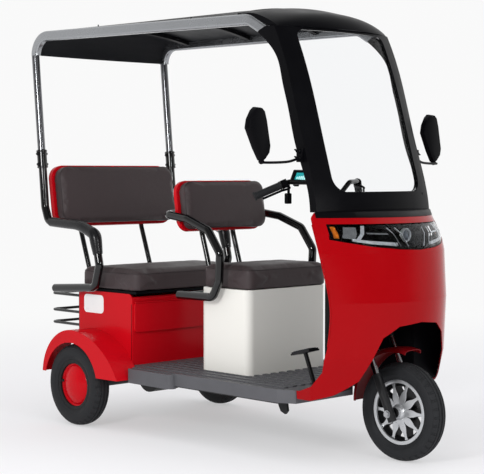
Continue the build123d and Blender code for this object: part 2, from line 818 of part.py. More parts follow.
# Roof header: domed cap from the skin down to the windscreen
# (edge x, its drop below the top, half width, centre x, its drop, depth of its skirt)
header_foot = roof_top_z - screen_top_z - 2 * seat_gap
header_sections = (
    (header_rear_run, 51, 362, header_rear_run, 6, 5),
    (1064, 53, 362, 1075, 13, 6),
    (1120, 64, 362, 1150, 26, 17),
    (1165, 81, 360, 1215, 41, 26),
    (1197, 97, 356, 1262, 60, 28),
    (1214, 108, 352, 1290, 86, 30),
    (1226, header_foot, 350, 1306, header_foot, 30),
)
with BuildPart() as roof_header:
    for edge_x, edge_drop, half, centre_x, centre_drop, skirt in header_sections:
        edge = (rear_axle_x + edge_x, roof_top_z - edge_drop)
        centre = (rear_axle_x + centre_x, roof_top_z - centre_drop)
        add(arc_band(edge, centre, half, 6, skirt))
    loft()
roof_header.part.label = "roof_header"

# Windscreen frame: curved sheet of plan arcs between two pillars, with the window cut out
# (height, corner x, centre x)
screen_sections = (
    (1047, 1469, 1546),
    (1140, 1453, 1529),
    (1336, 1392, 1475),
    (1580, 1320, 1400),
    (1700, 1279, 1352),
    (1770, 1249, 1322),
    (screen_top_z, 1222, 1298),
)
pillar_rear = (
    (1431, 1047),
    (1417, 1140),
    (1343, 1336),
    (1302, 1488),
    (1269, 1596),
    (1245, 1680),
    (1180, 1761),
    (1124, 1804.4),
)


def screen_sheet(inset, thickness):
    """The windscreen's curved sheet, between two sets of plan arcs."""
    with BuildPart() as sheet:
        for z, corner, centre in screen_sections:
            edge = (rear_axle_x + corner - inset, z)
            middle = (rear_axle_x + centre - inset, z)
            add(arc_band(edge, middle, pillar_half_width, thickness, thickness))
        loft()
    return sheet.part


def window_outline(inset):
    """Window seen from ahead, in y and z, drawn in by a gap."""
    with BuildSketch(Plane.XY, mode=Mode.PRIVATE) as window:
        with Locations((0, (window_low_z + window_high_z) / 2)):
            Rectangle(2 * (window_half - inset), window_high_z - window_low_z - 2 * inset)
        corners = window.vertices().group_by(Axis.Y)
        fillet(corners[0], radius=62 - inset)
        fillet(window.vertices().group_by(Axis.Y)[-1], radius=36 - inset)
    return window.sketch


window_half = 277.0
window_low_z = 1130.0
window_high_z = 1812.0
with BuildPart() as windscreen_frame:
    add(screen_sheet(0, screen_wall))
    with BuildSketch(Plane.YZ.offset(rear_axle_x + 1000)):
        add(window_outline(0))
    extrude(amount=700, mode=Mode.SUBTRACT)
    for side in (-1, 1):
        with BuildSketch(Plane.XZ.offset(-side * pillar_half_width)):
            with BuildLine():
                front = [(rear_axle_x + x, z) for z, x, centre in screen_sections]
                rear = [(rear_axle_x + x, z) for x, z in pillar_rear]
                Spline(*front)
                Spline(*rear)
                Line(front[0], rear[0])
                Polyline(rear[-1], (seam_high[0] + 2, seam_high[1] - 0.3), front[-1])
            make_face()
        extrude(amount=side * pillar_wall)
windscreen_frame.part.label = "windscreen_frame"

with BuildPart() as windscreen_glass:
    add(screen_sheet(8, glass_thickness))
    with BuildSketch(Plane.YZ.offset(rear_axle_x + 1000)):
        add(window_outline(seat_gap))
    extrude(amount=700, mode=Mode.INTERSECT)
windscreen_glass.part.label = "windscreen_glass"

# Front shell: (height, half width, x where the side ends, nose x)
shell_sections = (
    (262, 385, 1450, 1670),
    (450, 400, 1487, 1715),
    (680, 400, 1490, 1730),
    (880, 400, 1487, 1715),
    (960, 398, 1475, 1690),
    (1030, 395, 1455, 1610),
    (1046, 390, 1450, 1565),
)


def nose_form(inset):
    """Solid form of the front shell, drawn in by a wall."""
    with BuildPart() as form:
        for z, half, side_x, nose_x in shell_sections:
            back = rear_axle_x + 1380
            x0 = rear_axle_x + side_x
            x1 = rear_axle_x + nose_x - inset
            w = half - inset
            with BuildSketch(Plane.XY.offset(z)):
                with BuildLine():
                    Polyline((x0, w), (back, w), (back, -w), (x0, -w))
                    ThreePointArc((x0, -w), (x1, 0), (x0, w))
                make_face()
        loft(ruled=True)
    return form.part


# Rear edge of the shell seen from the side, and the lamp's and arch's outlines seen from ahead
shell_edge = (
    (1461, 1060),
    (1461, 1022),
    (1499, 909),
    (1543, 712),
    (1548, 600),
    (1538, 511),
    (1510, 395),
    (1464, 335),
    (1395, 309),
    (1379, 309),
)
arch_outline = (
    (-420, 240),
    (-392, 272),
    (-330, 300),
    (-262, 358),
    (-225, 455),
    (-190, 535),
    (-120, 580),
    (0, arch_top_z),
)
lamp_outline = (
    (-352, 1000),
    (-358, 938),
    (-312, 926),
    (-223, 908),
    (-113, 896),
    (0, 891),
)


def both_sides(half_outline):
    """Mirror a half outline, given from the right side to the middle."""
    return list(half_outline) + [(-y, z) for y, z in reversed(half_outline) if y != 0]


with BuildPart() as front_shell:
    add(nose_form(0))
    add(nose_form(shell_wall), mode=Mode.SUBTRACT)
    with BuildSketch(Plane.XZ.offset(-500)):
        Polygon(
            *[(rear_axle_x + x, z) for x, z in shell_edge],
            (rear_axle_x + 1300, 309),
            (rear_axle_x + 1300, 1060),
            align=None,
        )
    extrude(amount=1000, mode=Mode.SUBTRACT)
    with BuildSketch(Plane.YZ.offset(rear_axle_x + 1370)):
        Polygon(*both_sides(arch_outline), align=None)
    extrude(amount=400, mode=Mode.SUBTRACT)
    with BuildSketch(Plane.YZ.offset(rear_axle_x + 1370)):
        Polygon(*both_sides(lamp_outline), align=None)
    extrude(amount=400, mode=Mode.SUBTRACT)
front_shell.part.label = "front_shell"

with BuildPart() as headlamp:
    add(nose_form(4))
    add(nose_form(40), mode=Mode.SUBTRACT)
    with BuildSketch(Plane.YZ.offset(rear_axle_x + 1480)):
        Polygon(*both_sides([(y * 0.995, z) for y, z in lamp_outline]), align=None)
    extrude(amount=400, mode=Mode.INTERSECT)
headlamp.part.label = "headlamp"

# Inner leg shield with the tunnel over the neck, seen in plan from the right side to the middle
shield_wall = 4.0
shield_top_z = 916.0
shield_plan = (
    (1570, -360),
    (1520, -200),
    (1270, -95),
    (1253, 0),
)
with BuildPart() as leg_shield:
    outline = [(rear_axle_x + x, y) for x, y in shield_plan]
    outline += [(x, -y) for x, y in reversed(outline[:-1])]
    with BuildSketch(Plane.XY.offset(deck_z + rib_height + seat_gap)):
        with BuildLine():
            Polyline(*outline)
        trace(line_width=shield_wall)
    extrude(amount=shield_top_z - deck_z)
    with BuildPart(mode=Mode.PRIVATE) as shield_room:
        add(nose_form(shell_wall + seat_gap))
        with BuildSketch(Plane.XY.offset(deck_z)):
            with Locations((rear_axle_x + 1320, 0)):
                Rectangle(140, 340)
        extrude(amount=shield_top_z)
    add(shield_room.part, mode=Mode.INTERSECT)
leg_shield.part.label = "leg_shield"

# Brake pedal with its stem, and the linkage under the deck
pedal_y = -205.0
rod_radius = 4.0
rod_y = -330.0
rod_z = 232.0
with BuildPart() as brake_pedal:
    with BuildSketch(Plane.XZ.offset(-pedal_y)):
        Polygon(
            (rear_axle_x + 1303, deck_z + seat_gap),
            (rear_axle_x + 1315, deck_z + seat_gap),
            (rear_axle_x + 1261, 444),
            (rear_axle_x + 1249, 440),
            align=None,
        )
    extrude(amount=7, both=True)
    with BuildSketch(Plane.XZ.offset(-pedal_y)):
        Polygon(
            (rear_axle_x + 1200, 424),
            (rear_axle_x + 1308, 452),
            (rear_axle_x + 1306, 459),
            (rear_axle_x + 1198, 431),
            align=None,
        )
    extrude(amount=32, both=True)
    # Linkage plate under the deck, and the rod to the rear brakes
    plate_top_z = frame_top_z - cross_depth - seat_gap
    with BuildSketch(Plane.XZ.offset(-(rod_y - 6))):
        Polygon(
            (rear_axle_x + 1235, plate_top_z),
            (rear_axle_x + 1265, plate_top_z),
            (rear_axle_x + 1276, 205),
            (rear_axle_x + 1262, 190),
            (rear_axle_x + 1236, 200),
            (rear_axle_x + 1222, 226),
            align=None,
        )
        with Locations((rear_axle_x + 432, (rod_z + plate_top_z) / 2 - 4)):
            Rectangle(24, plate_top_z - rod_z + 8)
    extrude(amount=-12)
    with BuildSketch(Plane.YZ.offset(rear_axle_x + 430)):
        with Locations((rod_y, rod_z)):
            Circle(rod_radius)
    extrude(amount=800)
brake_pedal.part.label = "brake_pedal"

# Mirrors: the same leaf-shaped head on both sides, on arms clamped to the pillars
mirror_face_x = rear_axle_x + 1300
mirror_depth = 26.0
mirror_table = ((-1, -524), (1, 592))  # side, y of the leaf's lower tip
leaf_low_z = 1240.0
with BuildPart() as mirrors:
    for side, tip_y in mirror_table:
        with BuildSketch(Plane.YZ.offset(mirror_face_x)):
            with BuildLine():
                ThreePointArc(
                    (tip_y, leaf_low_z), (tip_y - 78, leaf_low_z + 60), (tip_y - 107, leaf_low_z + 150)
                )
                ThreePointArc(
                    (tip_y - 107, leaf_low_z + 150),
                    (tip_y - 90, leaf_low_z + 213),
                    (tip_y - 36, leaf_low_z + 242),
                )
                ThreePointArc(
                    (tip_y - 36, leaf_low_z + 242),
                    (tip_y + 14, leaf_low_z + 212),
                    (tip_y + 38, leaf_low_z + 140),
                )
                ThreePointArc((tip_y + 38, leaf_low_z + 140), (tip_y + 34, leaf_low_z + 66), (tip_y, leaf_low_z))
            make_face()
        extrude(amount=mirror_depth)
        fillet(mirrors.faces(Select.LAST).sort_by(Axis.X)[-1].edges(), radius=9)
        clamp_y = side * (pillar_half_width + 7 + seat_gap)
        with BuildSketch(Plane.XZ.offset(-clamp_y)):
            with Locations((rear_axle_x + 1382, 1282)):
                RectangleRounded(30, 58, 8)
        extrude(amount=7, both=True)
        with BuildLine() as mirror_arm:
            FilletPolyline(
                (rear_axle_x + 1382, clamp_y, 1266),
                (rear_axle_x + 1372, side * 450, 1246),
                (mirror_face_x + mirror_depth / 2, tip_y, leaf_low_z + 14),
                radius=14,
            )
        with BuildSketch(Plane(origin=mirror_arm.line @ 0, z_dir=mirror_arm.line % 0)):
            Circle(6)
        sweep()
mirrors.part.label = "mirrors"

# Fork: lower legs, stanchions, yoke and stem
leg_low = -34.0
leg_top = 175.0
brace_height = 271.0  # under it the mudguard is bolted on
with BuildPart() as fork:
    for side in (-1, 1):
        with BuildSketch(steering.offset(leg_low)):
            with Locations((0, side * fork_leg_y)):
                Circle(fork_leg_radius)
        extrude(amount=leg_top - leg_low)
        with BuildSketch(steering.offset(leg_top)):
            with Locations((0, side * fork_leg_y)):
                Circle(stanchion_radius)
        extrude(amount=yoke_height - leg_top)
    with BuildSketch(steering.offset(yoke_height)):
        SlotOverall(2 * fork_leg_y + 50, 56, rotation=90)
    extrude(amount=yoke_thickness)
    with BuildSketch(steering.offset(yoke_height)):
        Circle(stem_radius)
    extrude(amount=stem_length - clamp_depth - seat_gap - yoke_height)
    with BuildSketch(steering.offset(brace_height)):
        Rectangle(30, 2 * fork_leg_y)
    extrude(amount=6)
    with BuildSketch(Plane.XZ.offset(-fork_leg_y)):
        with Locations((front_axle_x, front_tyre_radius)):
            Circle(front_spindle_radius)
    extrude(amount=2 * fork_leg_y)
fork.part.label = "fork"

# Handlebar, grips, levers and display
bar_radius = 11.0
bar_centre = steering.from_local_coords(Vector(0, 0, stem_length))
# Bends of one half from the middle of the clamp
clamp_bend = Vector(0, 75, 0)
rise_bend = Vector(2, 130, 49.6607)
hand_bend = Vector(-32.2687, 220, 51.6607)
bar_end = Vector(-125.2687, 340, -12.3393)
with BuildPart() as handlebar:
    left_bar = [tuple(bar_centre + bend) for bend in (clamp_bend, rise_bend, hand_bend, bar_end)]
    right_bar = [(x, -y, z) for x, y, z in reversed(left_bar)]
    with BuildLine() as bar:
        FilletPolyline(*right_bar, *left_bar, radius=30)
    with BuildSketch(Plane(origin=bar.line @ 0, z_dir=bar.line % 0)):
        Circle(bar_radius)
    sweep()
    with BuildSketch(steering.offset(stem_length - clamp_depth)):
        RectangleRounded(46, 64, 8)
    extrude(amount=clamp_depth + bar_radius + 6)
handlebar.part.label = "handlebar"

grip_radius = 17.0
with BuildPart() as grips:
    for side in (-1, 1):
        start = bar_centre + Vector(hand_bend.X, side * hand_bend.Y, hand_bend.Z)
        end = bar_centre + Vector(bar_end.X, side * bar_end.Y, bar_end.Z)
        direction = (end - start).normalized()
        with BuildSketch(Plane(origin=start + direction * 38, z_dir=direction)):
            Circle(grip_radius)
            Circle(bar_radius + seat_gap, mode=Mode.SUBTRACT)
        extrude(amount=(end - start).length - 38)
grips.part.label = "grips"

# Brake levers with their switch blocks
with BuildPart() as controls:
    for side in (-1, 1):
        start = bar_centre + Vector(hand_bend.X, side * hand_bend.Y, hand_bend.Z)
        end = bar_centre + Vector(bar_end.X, side * bar_end.Y, bar_end.Z)
        direction = (end - start).normalized()
        block_plane = Plane(origin=start + direction * 9, z_dir=direction)
        with BuildSketch(block_plane):
            Circle(19)
            Circle(bar_radius + seat_gap, mode=Mode.SUBTRACT)
        extrude(amount=27)
        ahead = Vector(34, 0, -14)
        with BuildLine() as lever:
            FilletPolyline(
                start + direction * 20 + Vector(14, 0, -12),
                start + direction * 20 + ahead + Vector(8, 0, -4),
                start + direction * 60 + ahead,
                start + direction * 150 + ahead,
                radius=8,
            )
        with BuildSketch(Plane(origin=lever.line @ 0, z_dir=lever.line % 0)):
            Circle(5)
        sweep()
controls.part.label = "controls"

# Display on a ring round the bar, facing the rider
inner_bend = bar_centre + Vector(rise_bend.X, -rise_bend.Y, rise_bend.Z)
outer_bend = bar_centre + Vector(hand_bend.X, -hand_bend.Y, hand_bend.Z)
bar_slope = (outer_bend - inner_bend).normalized()
ring_at = inner_bend + bar_slope * 26
display_at = bar_centre + Vector(-63.2687, -125, 75.6607)
display_plane = Plane(origin=display_at, x_dir=(0, 1, 0), z_dir=(-0.6, 0, 0.8))
with BuildPart() as display:
    with BuildSketch(display_plane):
        RectangleRounded(86, 52, 8)
    extrude(amount=-20)
    ring_plane = Plane(origin=ring_at, x_dir=display_plane.origin - ring_at, z_dir=bar_slope)
    with BuildSketch(ring_plane):
        Circle(bar_radius + 6)
        with Locations((36, 0)):
            Rectangle(48, 12)
    extrude(amount=7, both=True)
    with BuildSketch(ring_plane):
        Circle(bar_radius + seat_gap)
    extrude(amount=20, both=True, mode=Mode.SUBTRACT)
display.part.label = "display"

with BuildPart() as front_mudguard:
    guard_centre = (rear_axle_x + 1625, 240)
    with BuildSketch(Plane.YZ.offset(guard_centre[0])):
        with BuildLine():
            Polyline(
                (-56, guard_centre[1] + 212),
                (-56, guard_centre[1] + 230),
                (-40, guard_centre[1] + 240),
                (40, guard_centre[1] + 240),
                (56, guard_centre[1] + 230),
                (56, guard_centre[1] + 212),
                (52, guard_centre[1] + 212),
                (52, guard_centre[1] + 227),
                (38, guard_centre[1] + 236),
                (-38, guard_centre[1] + 236),
                (-52, guard_centre[1] + 227),
                (-52, guard_centre[1] + 212),
                close=True,
            )
        make_face()
    revolve(axis=Axis((guard_centre[0], 0, guard_centre[1]), (0, -1, 0)), revolution_arc=92)
front_mudguard.part.label = "front_mudguard"

finished = [
    front_tyre, front_rim, rear_axle, drive_motor, leaf_springs, chassis_frame, floor_deck,
    bench_box, bench_panel, rear_panel, rear_rack, tail_lamps, rear_fenders, bench_lid,
    bench_cushion, bench_frame, roof_posts, bench_back_shell, bench_back_pad, seat_box,
    battery_pack, driver_cushion, driver_frame, driver_back_shell, driver_back_pad,
    roof_panel, roof_rails, windscreen_frame, windscreen_glass, roof_header, front_shell,
    headlamp, leg_shield, brake_pedal, mirrors, fork, handlebar, grips, controls, display,
    front_mudguard,
]
for piece in [builder.part for builder in finished] + rear_parts:
    export_step(piece, "parts/" + piece.label + ".step")
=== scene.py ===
import bmesh
import bpy
from math import atan2, cos, hypot, pi, radians, sin, sqrt
from mathutils import Matrix, Vector
from mathutils.bvhtree import BVHTree


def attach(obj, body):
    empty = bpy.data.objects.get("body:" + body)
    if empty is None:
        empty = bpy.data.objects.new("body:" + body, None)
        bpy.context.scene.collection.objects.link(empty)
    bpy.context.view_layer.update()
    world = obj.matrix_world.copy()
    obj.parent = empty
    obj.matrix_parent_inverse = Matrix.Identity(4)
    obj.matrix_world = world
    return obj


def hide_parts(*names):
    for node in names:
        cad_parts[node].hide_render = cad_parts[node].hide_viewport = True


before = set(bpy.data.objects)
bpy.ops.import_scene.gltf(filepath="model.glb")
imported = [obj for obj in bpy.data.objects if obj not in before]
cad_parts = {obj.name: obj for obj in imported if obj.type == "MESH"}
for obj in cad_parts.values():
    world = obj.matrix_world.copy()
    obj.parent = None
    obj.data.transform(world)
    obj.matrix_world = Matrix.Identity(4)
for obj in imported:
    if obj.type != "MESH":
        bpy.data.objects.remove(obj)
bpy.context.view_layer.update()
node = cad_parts

# Driving sizes in metres, which the pieces below share with the CAD nodes
rear_axle_x = -0.71175
front_axle_x = 0.91625
front_wheel_radius = 0.2075
rear_wheel_radius = 0.195
rear_wheel_y = 0.4575
steering_rake = radians(25)
bench_side_y = 0.375


# Studio: a pale floor that fades to white, one large soft lamp from the rider's right,
# and weaker ones ahead and above. The camera stands ahead of the front wheel on the right.
def linear(hex_colour):
    """sRGB hex to the linear RGBA that a shader socket takes."""
    channels = [int(hex_colour[i:i + 2], 16) / 255 for i in (0, 2, 4)]
    return [c / 12.92 if c <= 0.04045 else ((c + 0.055) / 1.055) ** 2.4 for c in channels] + [1.0]


def add_node(tree, kind, settings=None, links=None):
    """Add a node; settings are properties or unlinked sockets, links feed its sockets."""
    made = tree.nodes.new(kind)
    for key, value in (settings or {}).items():
        if isinstance(key, int) or key in made.inputs:
            made.inputs[key].default_value = value
        else:
            setattr(made, key, value)
    for key, source in (links or {}).items():
        tree.links.new(source, made.inputs[key])
    return made


def visible_rays(tree):
    """The light path, and 1 for rays that are seen directly, in a reflection or through glass."""
    rays = add_node(tree, "ShaderNodeLightPath")
    seen = add_node(
        tree, "ShaderNodeMath", {"operation": "MAXIMUM"},
        {0: rays.outputs["Is Camera Ray"], 1: rays.outputs["Is Glossy Ray"]},
    )
    seen = add_node(
        tree, "ShaderNodeMath", {"operation": "MAXIMUM"},
        {0: seen.outputs[0], 1: rays.outputs["Is Transmission Ray"]},
    )
    return rays, seen


camera_data = bpy.data.cameras.new("photo_camera")
camera_data.lens = 105.9
camera_data.sensor_width = 36.0
camera = bpy.data.objects.new("photo_camera", camera_data)
camera.location = (4.7303, -4.609, 1.212)
camera.rotation_euler = (radians(87.39), 0.0, radians(46.11))
bpy.context.scene.collection.objects.link(camera)
bpy.context.scene.camera = camera
bpy.context.scene.view_settings.view_transform = "Standard"

# name, place, target, side length in metres, power in watts
lamp_table = (
    ("key_lamp", (1.5, -4.5, 2.2), (0.1, 0.0, 0.5), 0.9, 88.0),
    ("front_lamp", (4.9, -0.6, 1.9), (0.4, 0.0, 0.5), 0.8, 44.0),
    ("top_lamp", (-0.4, 0.2, 4.8), (0.0, 0.0, 0.0), 2.2, 12.0),
)
for name, place, target, size, power in lamp_table:
    lamp_data = bpy.data.lights.new(name, "AREA")
    lamp_data.shape = "SQUARE"
    lamp_data.size = size
    lamp_data.energy = power
    lamp = bpy.data.objects.new(name, lamp_data)
    lamp.location = place
    lamp.rotation_euler = (Vector(target) - Vector(place)).to_track_quat("-Z", "Y").to_euler()
    bpy.context.scene.collection.objects.link(lamp)

studio_white = 0.95
world = bpy.data.worlds.new("studio")
bpy.context.scene.world = world
world.use_nodes = True
sky = world.node_tree
sky.nodes.clear()
rays, seen = visible_rays(sky)
lit = add_node(sky, "ShaderNodeBackground", {"Color": linear("F7F8FA"), "Strength": 0.9})
# Polished parts mirror a white backdrop on the far side and a darker room on the near side
heading = add_node(sky, "ShaderNodeTexCoord")
toward = add_node(
    sky, "ShaderNodeVectorMath", {"operation": "DOT_PRODUCT", 1: (0.72, -0.70, 0.30)},
    {0: heading.outputs["Generated"]},
)
room = add_node(
    sky, "ShaderNodeMapRange",
    {
        "From Min": -0.10, "From Max": 0.40, "To Min": studio_white, "To Max": 0.22,
        "interpolation_type": "SMOOTHSTEP",
    },
    {"Value": toward.outputs["Value"]},
)
backdrop = add_node(
    sky, "ShaderNodeMix", {"data_type": "FLOAT", 2: studio_white},
    {0: rays.outputs["Is Glossy Ray"], 3: room.outputs["Result"]},
)
white = add_node(sky, "ShaderNodeBackground", {"Color": linear("FFFFFF")}, {"Strength": backdrop.outputs[0]})
sky_mix = add_node(
    sky, "ShaderNodeMixShader", links={0: seen.outputs[0], 1: lit.outputs[0], 2: white.outputs[0]}
)
add_node(sky, "ShaderNodeOutputWorld", links={"Surface": sky_mix.outputs[0]})

floor_bm = bmesh.new()
bmesh.ops.create_grid(floor_bm, x_segments=2, y_segments=2, size=40.0)
floor_mesh = bpy.data.meshes.new("studio_floor")
floor_bm.to_mesh(floor_mesh)
floor_bm.free()
floor = bpy.data.objects.new("studio_floor", floor_mesh)
bpy.context.scene.collection.objects.link(floor)
floor_paint = bpy.data.materials.new("studio_floor_paint")
floor_paint.use_nodes = True
tree = floor_paint.node_tree
tree.nodes.clear()
place = add_node(tree, "ShaderNodeTexCoord")
reach = add_node(tree, "ShaderNodeVectorMath", {"operation": "LENGTH"}, {0: place.outputs["Object"]})
fade = add_node(
    tree, "ShaderNodeMapRange",
    {"From Min": 1.2, "From Max": 6.0, "To Min": 0.45, "interpolation_type": "SMOOTHSTEP"},
    {"Value": reach.outputs["Value"]},
)
matt = add_node(tree, "ShaderNodeBsdfDiffuse", {"Color": linear("F1F0F3")})
glow = add_node(tree, "ShaderNodeEmission", {"Color": linear("FFFFFF"), "Strength": studio_white})
_, seen = visible_rays(tree)
share = add_node(
    tree, "ShaderNodeMath", {"operation": "MULTIPLY"}, {0: fade.outputs["Result"], 1: seen.outputs[0]}
)
floor_mix = add_node(
    tree, "ShaderNodeMixShader", links={0: share.outputs[0], 1: matt.outputs[0], 2: glow.outputs[0]}
)
add_node(tree, "ShaderNodeOutputMaterial", links={"Surface": floor_mix.outputs[0]})
floor_mesh.materials.append(floor_paint)


# Chassis, axle, motor, springs and pedal gear: welded mild steel in semi-gloss black paint.
# The paint gives a broken sheen, and dust makes patches of it a little greyer.
def finish(name, sheen, tones, patch_mm, roughness, grain_mm, relief, metallic=0.0, glow=0.0):
    """A material of two tones in soft patches, with a range of roughness and a grain in relief."""
    material = bpy.data.materials.new(name)
    material.use_nodes = True
    tree = material.node_tree
    shader = tree.nodes["Principled BSDF"]
    shader.inputs["Specular IOR Level"].default_value = sheen
    shader.inputs["Metallic"].default_value = metallic
    place = add_node(tree, "ShaderNodeTexCoord")
    patches = add_node(
        tree, "ShaderNodeTexNoise", {"Scale": 1000 / patch_mm, "Detail": 4.0, "Roughness": 0.6},
        {"Vector": place.outputs["Object"]},
    )
    colour = add_node(
        tree, "ShaderNodeMix", {"data_type": "RGBA", 6: linear(tones[0]), 7: linear(tones[1])},
        {0: patches.outputs["Fac"]},
    )
    gloss = add_node(
        tree, "ShaderNodeMapRange",
        {"From Min": 0.3, "From Max": 0.7, "To Min": roughness[0], "To Max": roughness[1]},
        {"Value": patches.outputs["Fac"]},
    )
    # Grains finer than a render's pixel are drawn a few times coarser than the real ones
    grain = add_node(
        tree, "ShaderNodeTexNoise", {"Scale": 1000 / grain_mm, "Detail": 2.0},
        {"Vector": place.outputs["Object"]},
    )
    bump = add_node(
        tree, "ShaderNodeBump", {"Strength": relief, "Distance": grain_mm / 4000},
        {"Height": grain.outputs["Fac"]},
    )
    tree.links.new(colour.outputs[2], shader.inputs["Base Color"])
    tree.links.new(gloss.outputs["Result"], shader.inputs["Roughness"])
    tree.links.new(bump.outputs["Normal"], shader.inputs["Normal"])
    if glow:
        tree.links.new(colour.outputs[2], shader.inputs["Emission Color"])
        shader.inputs["Emission Strength"].default_value = glow
    return material


def dress(names, material):
    """Give CAD nodes a finish in place of their plain one."""
    for name in names:
        for material_slot in node[name].material_slots:
            material_slot.material = material


black_steel = finish("painted_mild_steel", 0.3, ("0D0D0F", "1B1B1D"), 60, (0.36, 0.6), 3, 0.25)
dress(("chassis_frame", "rear_axle", "drive_motor", "leaf_springs", "brake_pedal", "rear_panel"), black_steel)

# Fork: lower legs, yoke and stem in the same paint, and hard-chromed stanchions between legs
# and yoke. Which of the two a point is follows from its height along the raked steering axis.
fork_paint = finish("painted_and_chromed_fork", 0.3, ("0D0D0F", "1B1B1D"), 60, (0.36, 0.6), 3, 0.25)
tree = fork_paint.node_tree
painted = tree.nodes["Principled BSDF"]
chromed = add_node(
    tree, "ShaderNodeBsdfPrincipled", {"Base Color": linear("C9CBCE"), "Roughness": 0.14, "Metallic": 1.0}
)
place = add_node(tree, "ShaderNodeTexCoord")
rake = add_node(
    tree, "ShaderNodeVectorMath", {"operation": "DOT_PRODUCT", 1: (-sin(steering_rake), 0.0, cos(steering_rake))},
    {0: place.outputs["Object"]},
)
foot = cos(steering_rake) * front_wheel_radius - sin(steering_rake) * front_axle_x
leg_top, yoke_bottom = 0.1755, 0.330
past_leg = add_node(
    tree, "ShaderNodeMath", {"operation": "GREATER_THAN", 1: foot + leg_top}, {0: rake.outputs["Value"]}
)
below_yoke = add_node(
    tree, "ShaderNodeMath", {"operation": "LESS_THAN", 1: foot + yoke_bottom}, {0: rake.outputs["Value"]}
)
bare = add_node(
    tree, "ShaderNodeMath", {"operation": "MULTIPLY"}, {0: past_leg.outputs[0], 1: below_yoke.outputs[0]}
)
fork_mix = add_node(
    tree, "ShaderNodeMixShader", links={0: bare.outputs[0], 1: painted.outputs[0], 2: chromed.outputs[0]}
)
tree.links.new(fork_mix.outputs[0], tree.nodes["Material Output"].inputs["Surface"])
dress(("fork",), fork_paint)

# Axle nuts and the bench lock: pressed steel with a thin bright zinc plating, which shows as a
# pale satin grey.
zinc_plate = finish(
    "zinc_plated_steel", 0.5, ("A9ABAD", "C9CACC"), 8, (0.25, 0.42), 1.5, 0.15, metallic=1.0
)


# Tubes of the armrests, seat backs, rack and handlebar: bent steel in a hard black powder
# coat, so glossy that the studio shows as thin white streaks along each tube.
tube_gloss = finish("gloss_powder_coat", 0.55, ("040405", "0A0A0C"), 80, (0.06, 0.12), 2.5, 0.05)
dress(("bench_frame", "driver_frame", "rear_rack", "handlebar"), tube_gloss)

# Roof rails and posts: the same gloss black tube, given a pale metallic grey that is a painted reflection of the
# white studio along it. The bars between the rails are plain dark paint.
posts_reflection_grey = finish(
    "posts_grey_painted_reflection", 0.6, ("68696C", "7C7D80"), 60, (0.14, 0.22), 2.5, 0.06, metallic=0.8
)
dress(("roof_posts",), posts_reflection_grey)
# The rails' paler grey is painted reflection as well.
rails_reflection_grey = finish(
    "rails_grey_painted_reflection", 0.6, ("97999C", "A9ABAE"), 120, (0.2, 0.3), 2.5, 0.06, metallic=0.9
)
tree = rails_reflection_grey.node_tree
rail_shader = tree.nodes["Principled BSDF"]
bar_shader = add_node(
    tree, "ShaderNodeBsdfPrincipled",
    {"Base Color": linear("0C0C0E"), "Roughness": 0.45, "Specular IOR Level": 0.1},
)
place = add_node(tree, "ShaderNodeTexCoord")
axes = add_node(tree, "ShaderNodeSeparateXYZ", links={0: place.outputs["Object"]})
across = add_node(tree, "ShaderNodeMath", {"operation": "ABSOLUTE"}, {0: axes.outputs["Y"]})
# The rails run in towards the front, so the border between rail and bar does as well
rail_toe_in, rail_inner_y = 0.04632, 0.3495
toe = add_node(
    tree, "ShaderNodeMath", {"operation": "MULTIPLY_ADD", 1: rail_toe_in},
    {0: axes.outputs["X"], 2: across.outputs[0]},
)
on_rail = add_node(tree, "ShaderNodeMath", {"operation": "GREATER_THAN", 1: rail_inner_y}, {0: toe.outputs[0]})
rail_mix = add_node(
    tree, "ShaderNodeMixShader", links={0: on_rail.outputs[0], 1: bar_shader.outputs[0], 2: rail_shader.outputs[0]}
)
tree.links.new(rail_mix.outputs[0], tree.nodes["Material Output"].inputs["Surface"])
dress(("roof_rails",), rails_reflection_grey)

# Roof skin, header, screen frame, mirror shells, leg shield and small housings: satin black
# ABS, moulded with a fine leather-like grain that keeps it dark from every side.
satin_abs = finish("satin_black_abs", 0.05, ("060608", "0B0B0E"), 120, (0.3, 0.4), 2, 0.15)
dress(
    (
        "roof_header", "windscreen_frame", "leg_shield", "mirrors", "controls", "display", "bench_lid",
        "tail_lamps", "battery_pack",
    ),
    satin_abs,
)

# Roof skin: a sheet of the same plastic, thermoformed over a mould, so it is a little greyer
# and less even than the moulded parts.
roof_plastic = finish("thermoformed_abs_sheet", 0.1, ("17181A", "212225"), 200, (0.4, 0.55), 3, 0.2)
dress(("roof_panel",), roof_plastic)

# Red nose: injection-moulded gloss ABS. Reflections stay small, and a slight waviness of the mould bends them. Its
# red is drawn darker than the bench's: painted shade on the nose.
red_abs_painted_shade = finish("gloss_red_abs_painted_shade", 0.1, ("8E0106", "9C030C"), 300, (0.08, 0.14), 14, 0.04)
dress(("front_shell",), red_abs_painted_shade)

# Fenders, bench box and seat shells: the same ABS in a thinner, satin moulding, with its red drawn brighter than
# the nose's as painted light. The pressed rear wheels are sprayed to match.
red_abs_painted_light = finish("satin_red_abs_painted_light", 0.1, ("B80814", "C60B19"), 300, (0.14, 0.24), 14, 0.04)
dress(
    (
        "rear_fenders", "bench_box", "bench_front_panel", "bench_back_shell", "driver_back_shell",
        "rear_rim_left", "rear_rim_right",
    ),
    red_abs_painted_light,
)

# Deck: a grey polypropylene moulding with raised ribs, screwed down on the chassis rails. Its
# grain against slipping keeps it matt.
deck_plastic = finish("grained_grey_polypropylene", 0.3, ("4C4C4F", "5E5E62"), 90, (0.42, 0.62), 3, 0.4)
dress(("floor_deck",), deck_plastic)

# Seat box: off-white ABS, moulded smooth in one shell that stands over the battery and is
# screwed to the deck.
white_abs = finish("gloss_white_abs", 0.25, ("E6E4DD", "EBE9E2"), 600, (0.2, 0.26), 6, 0.03)
dress(("seat_box",), white_abs)


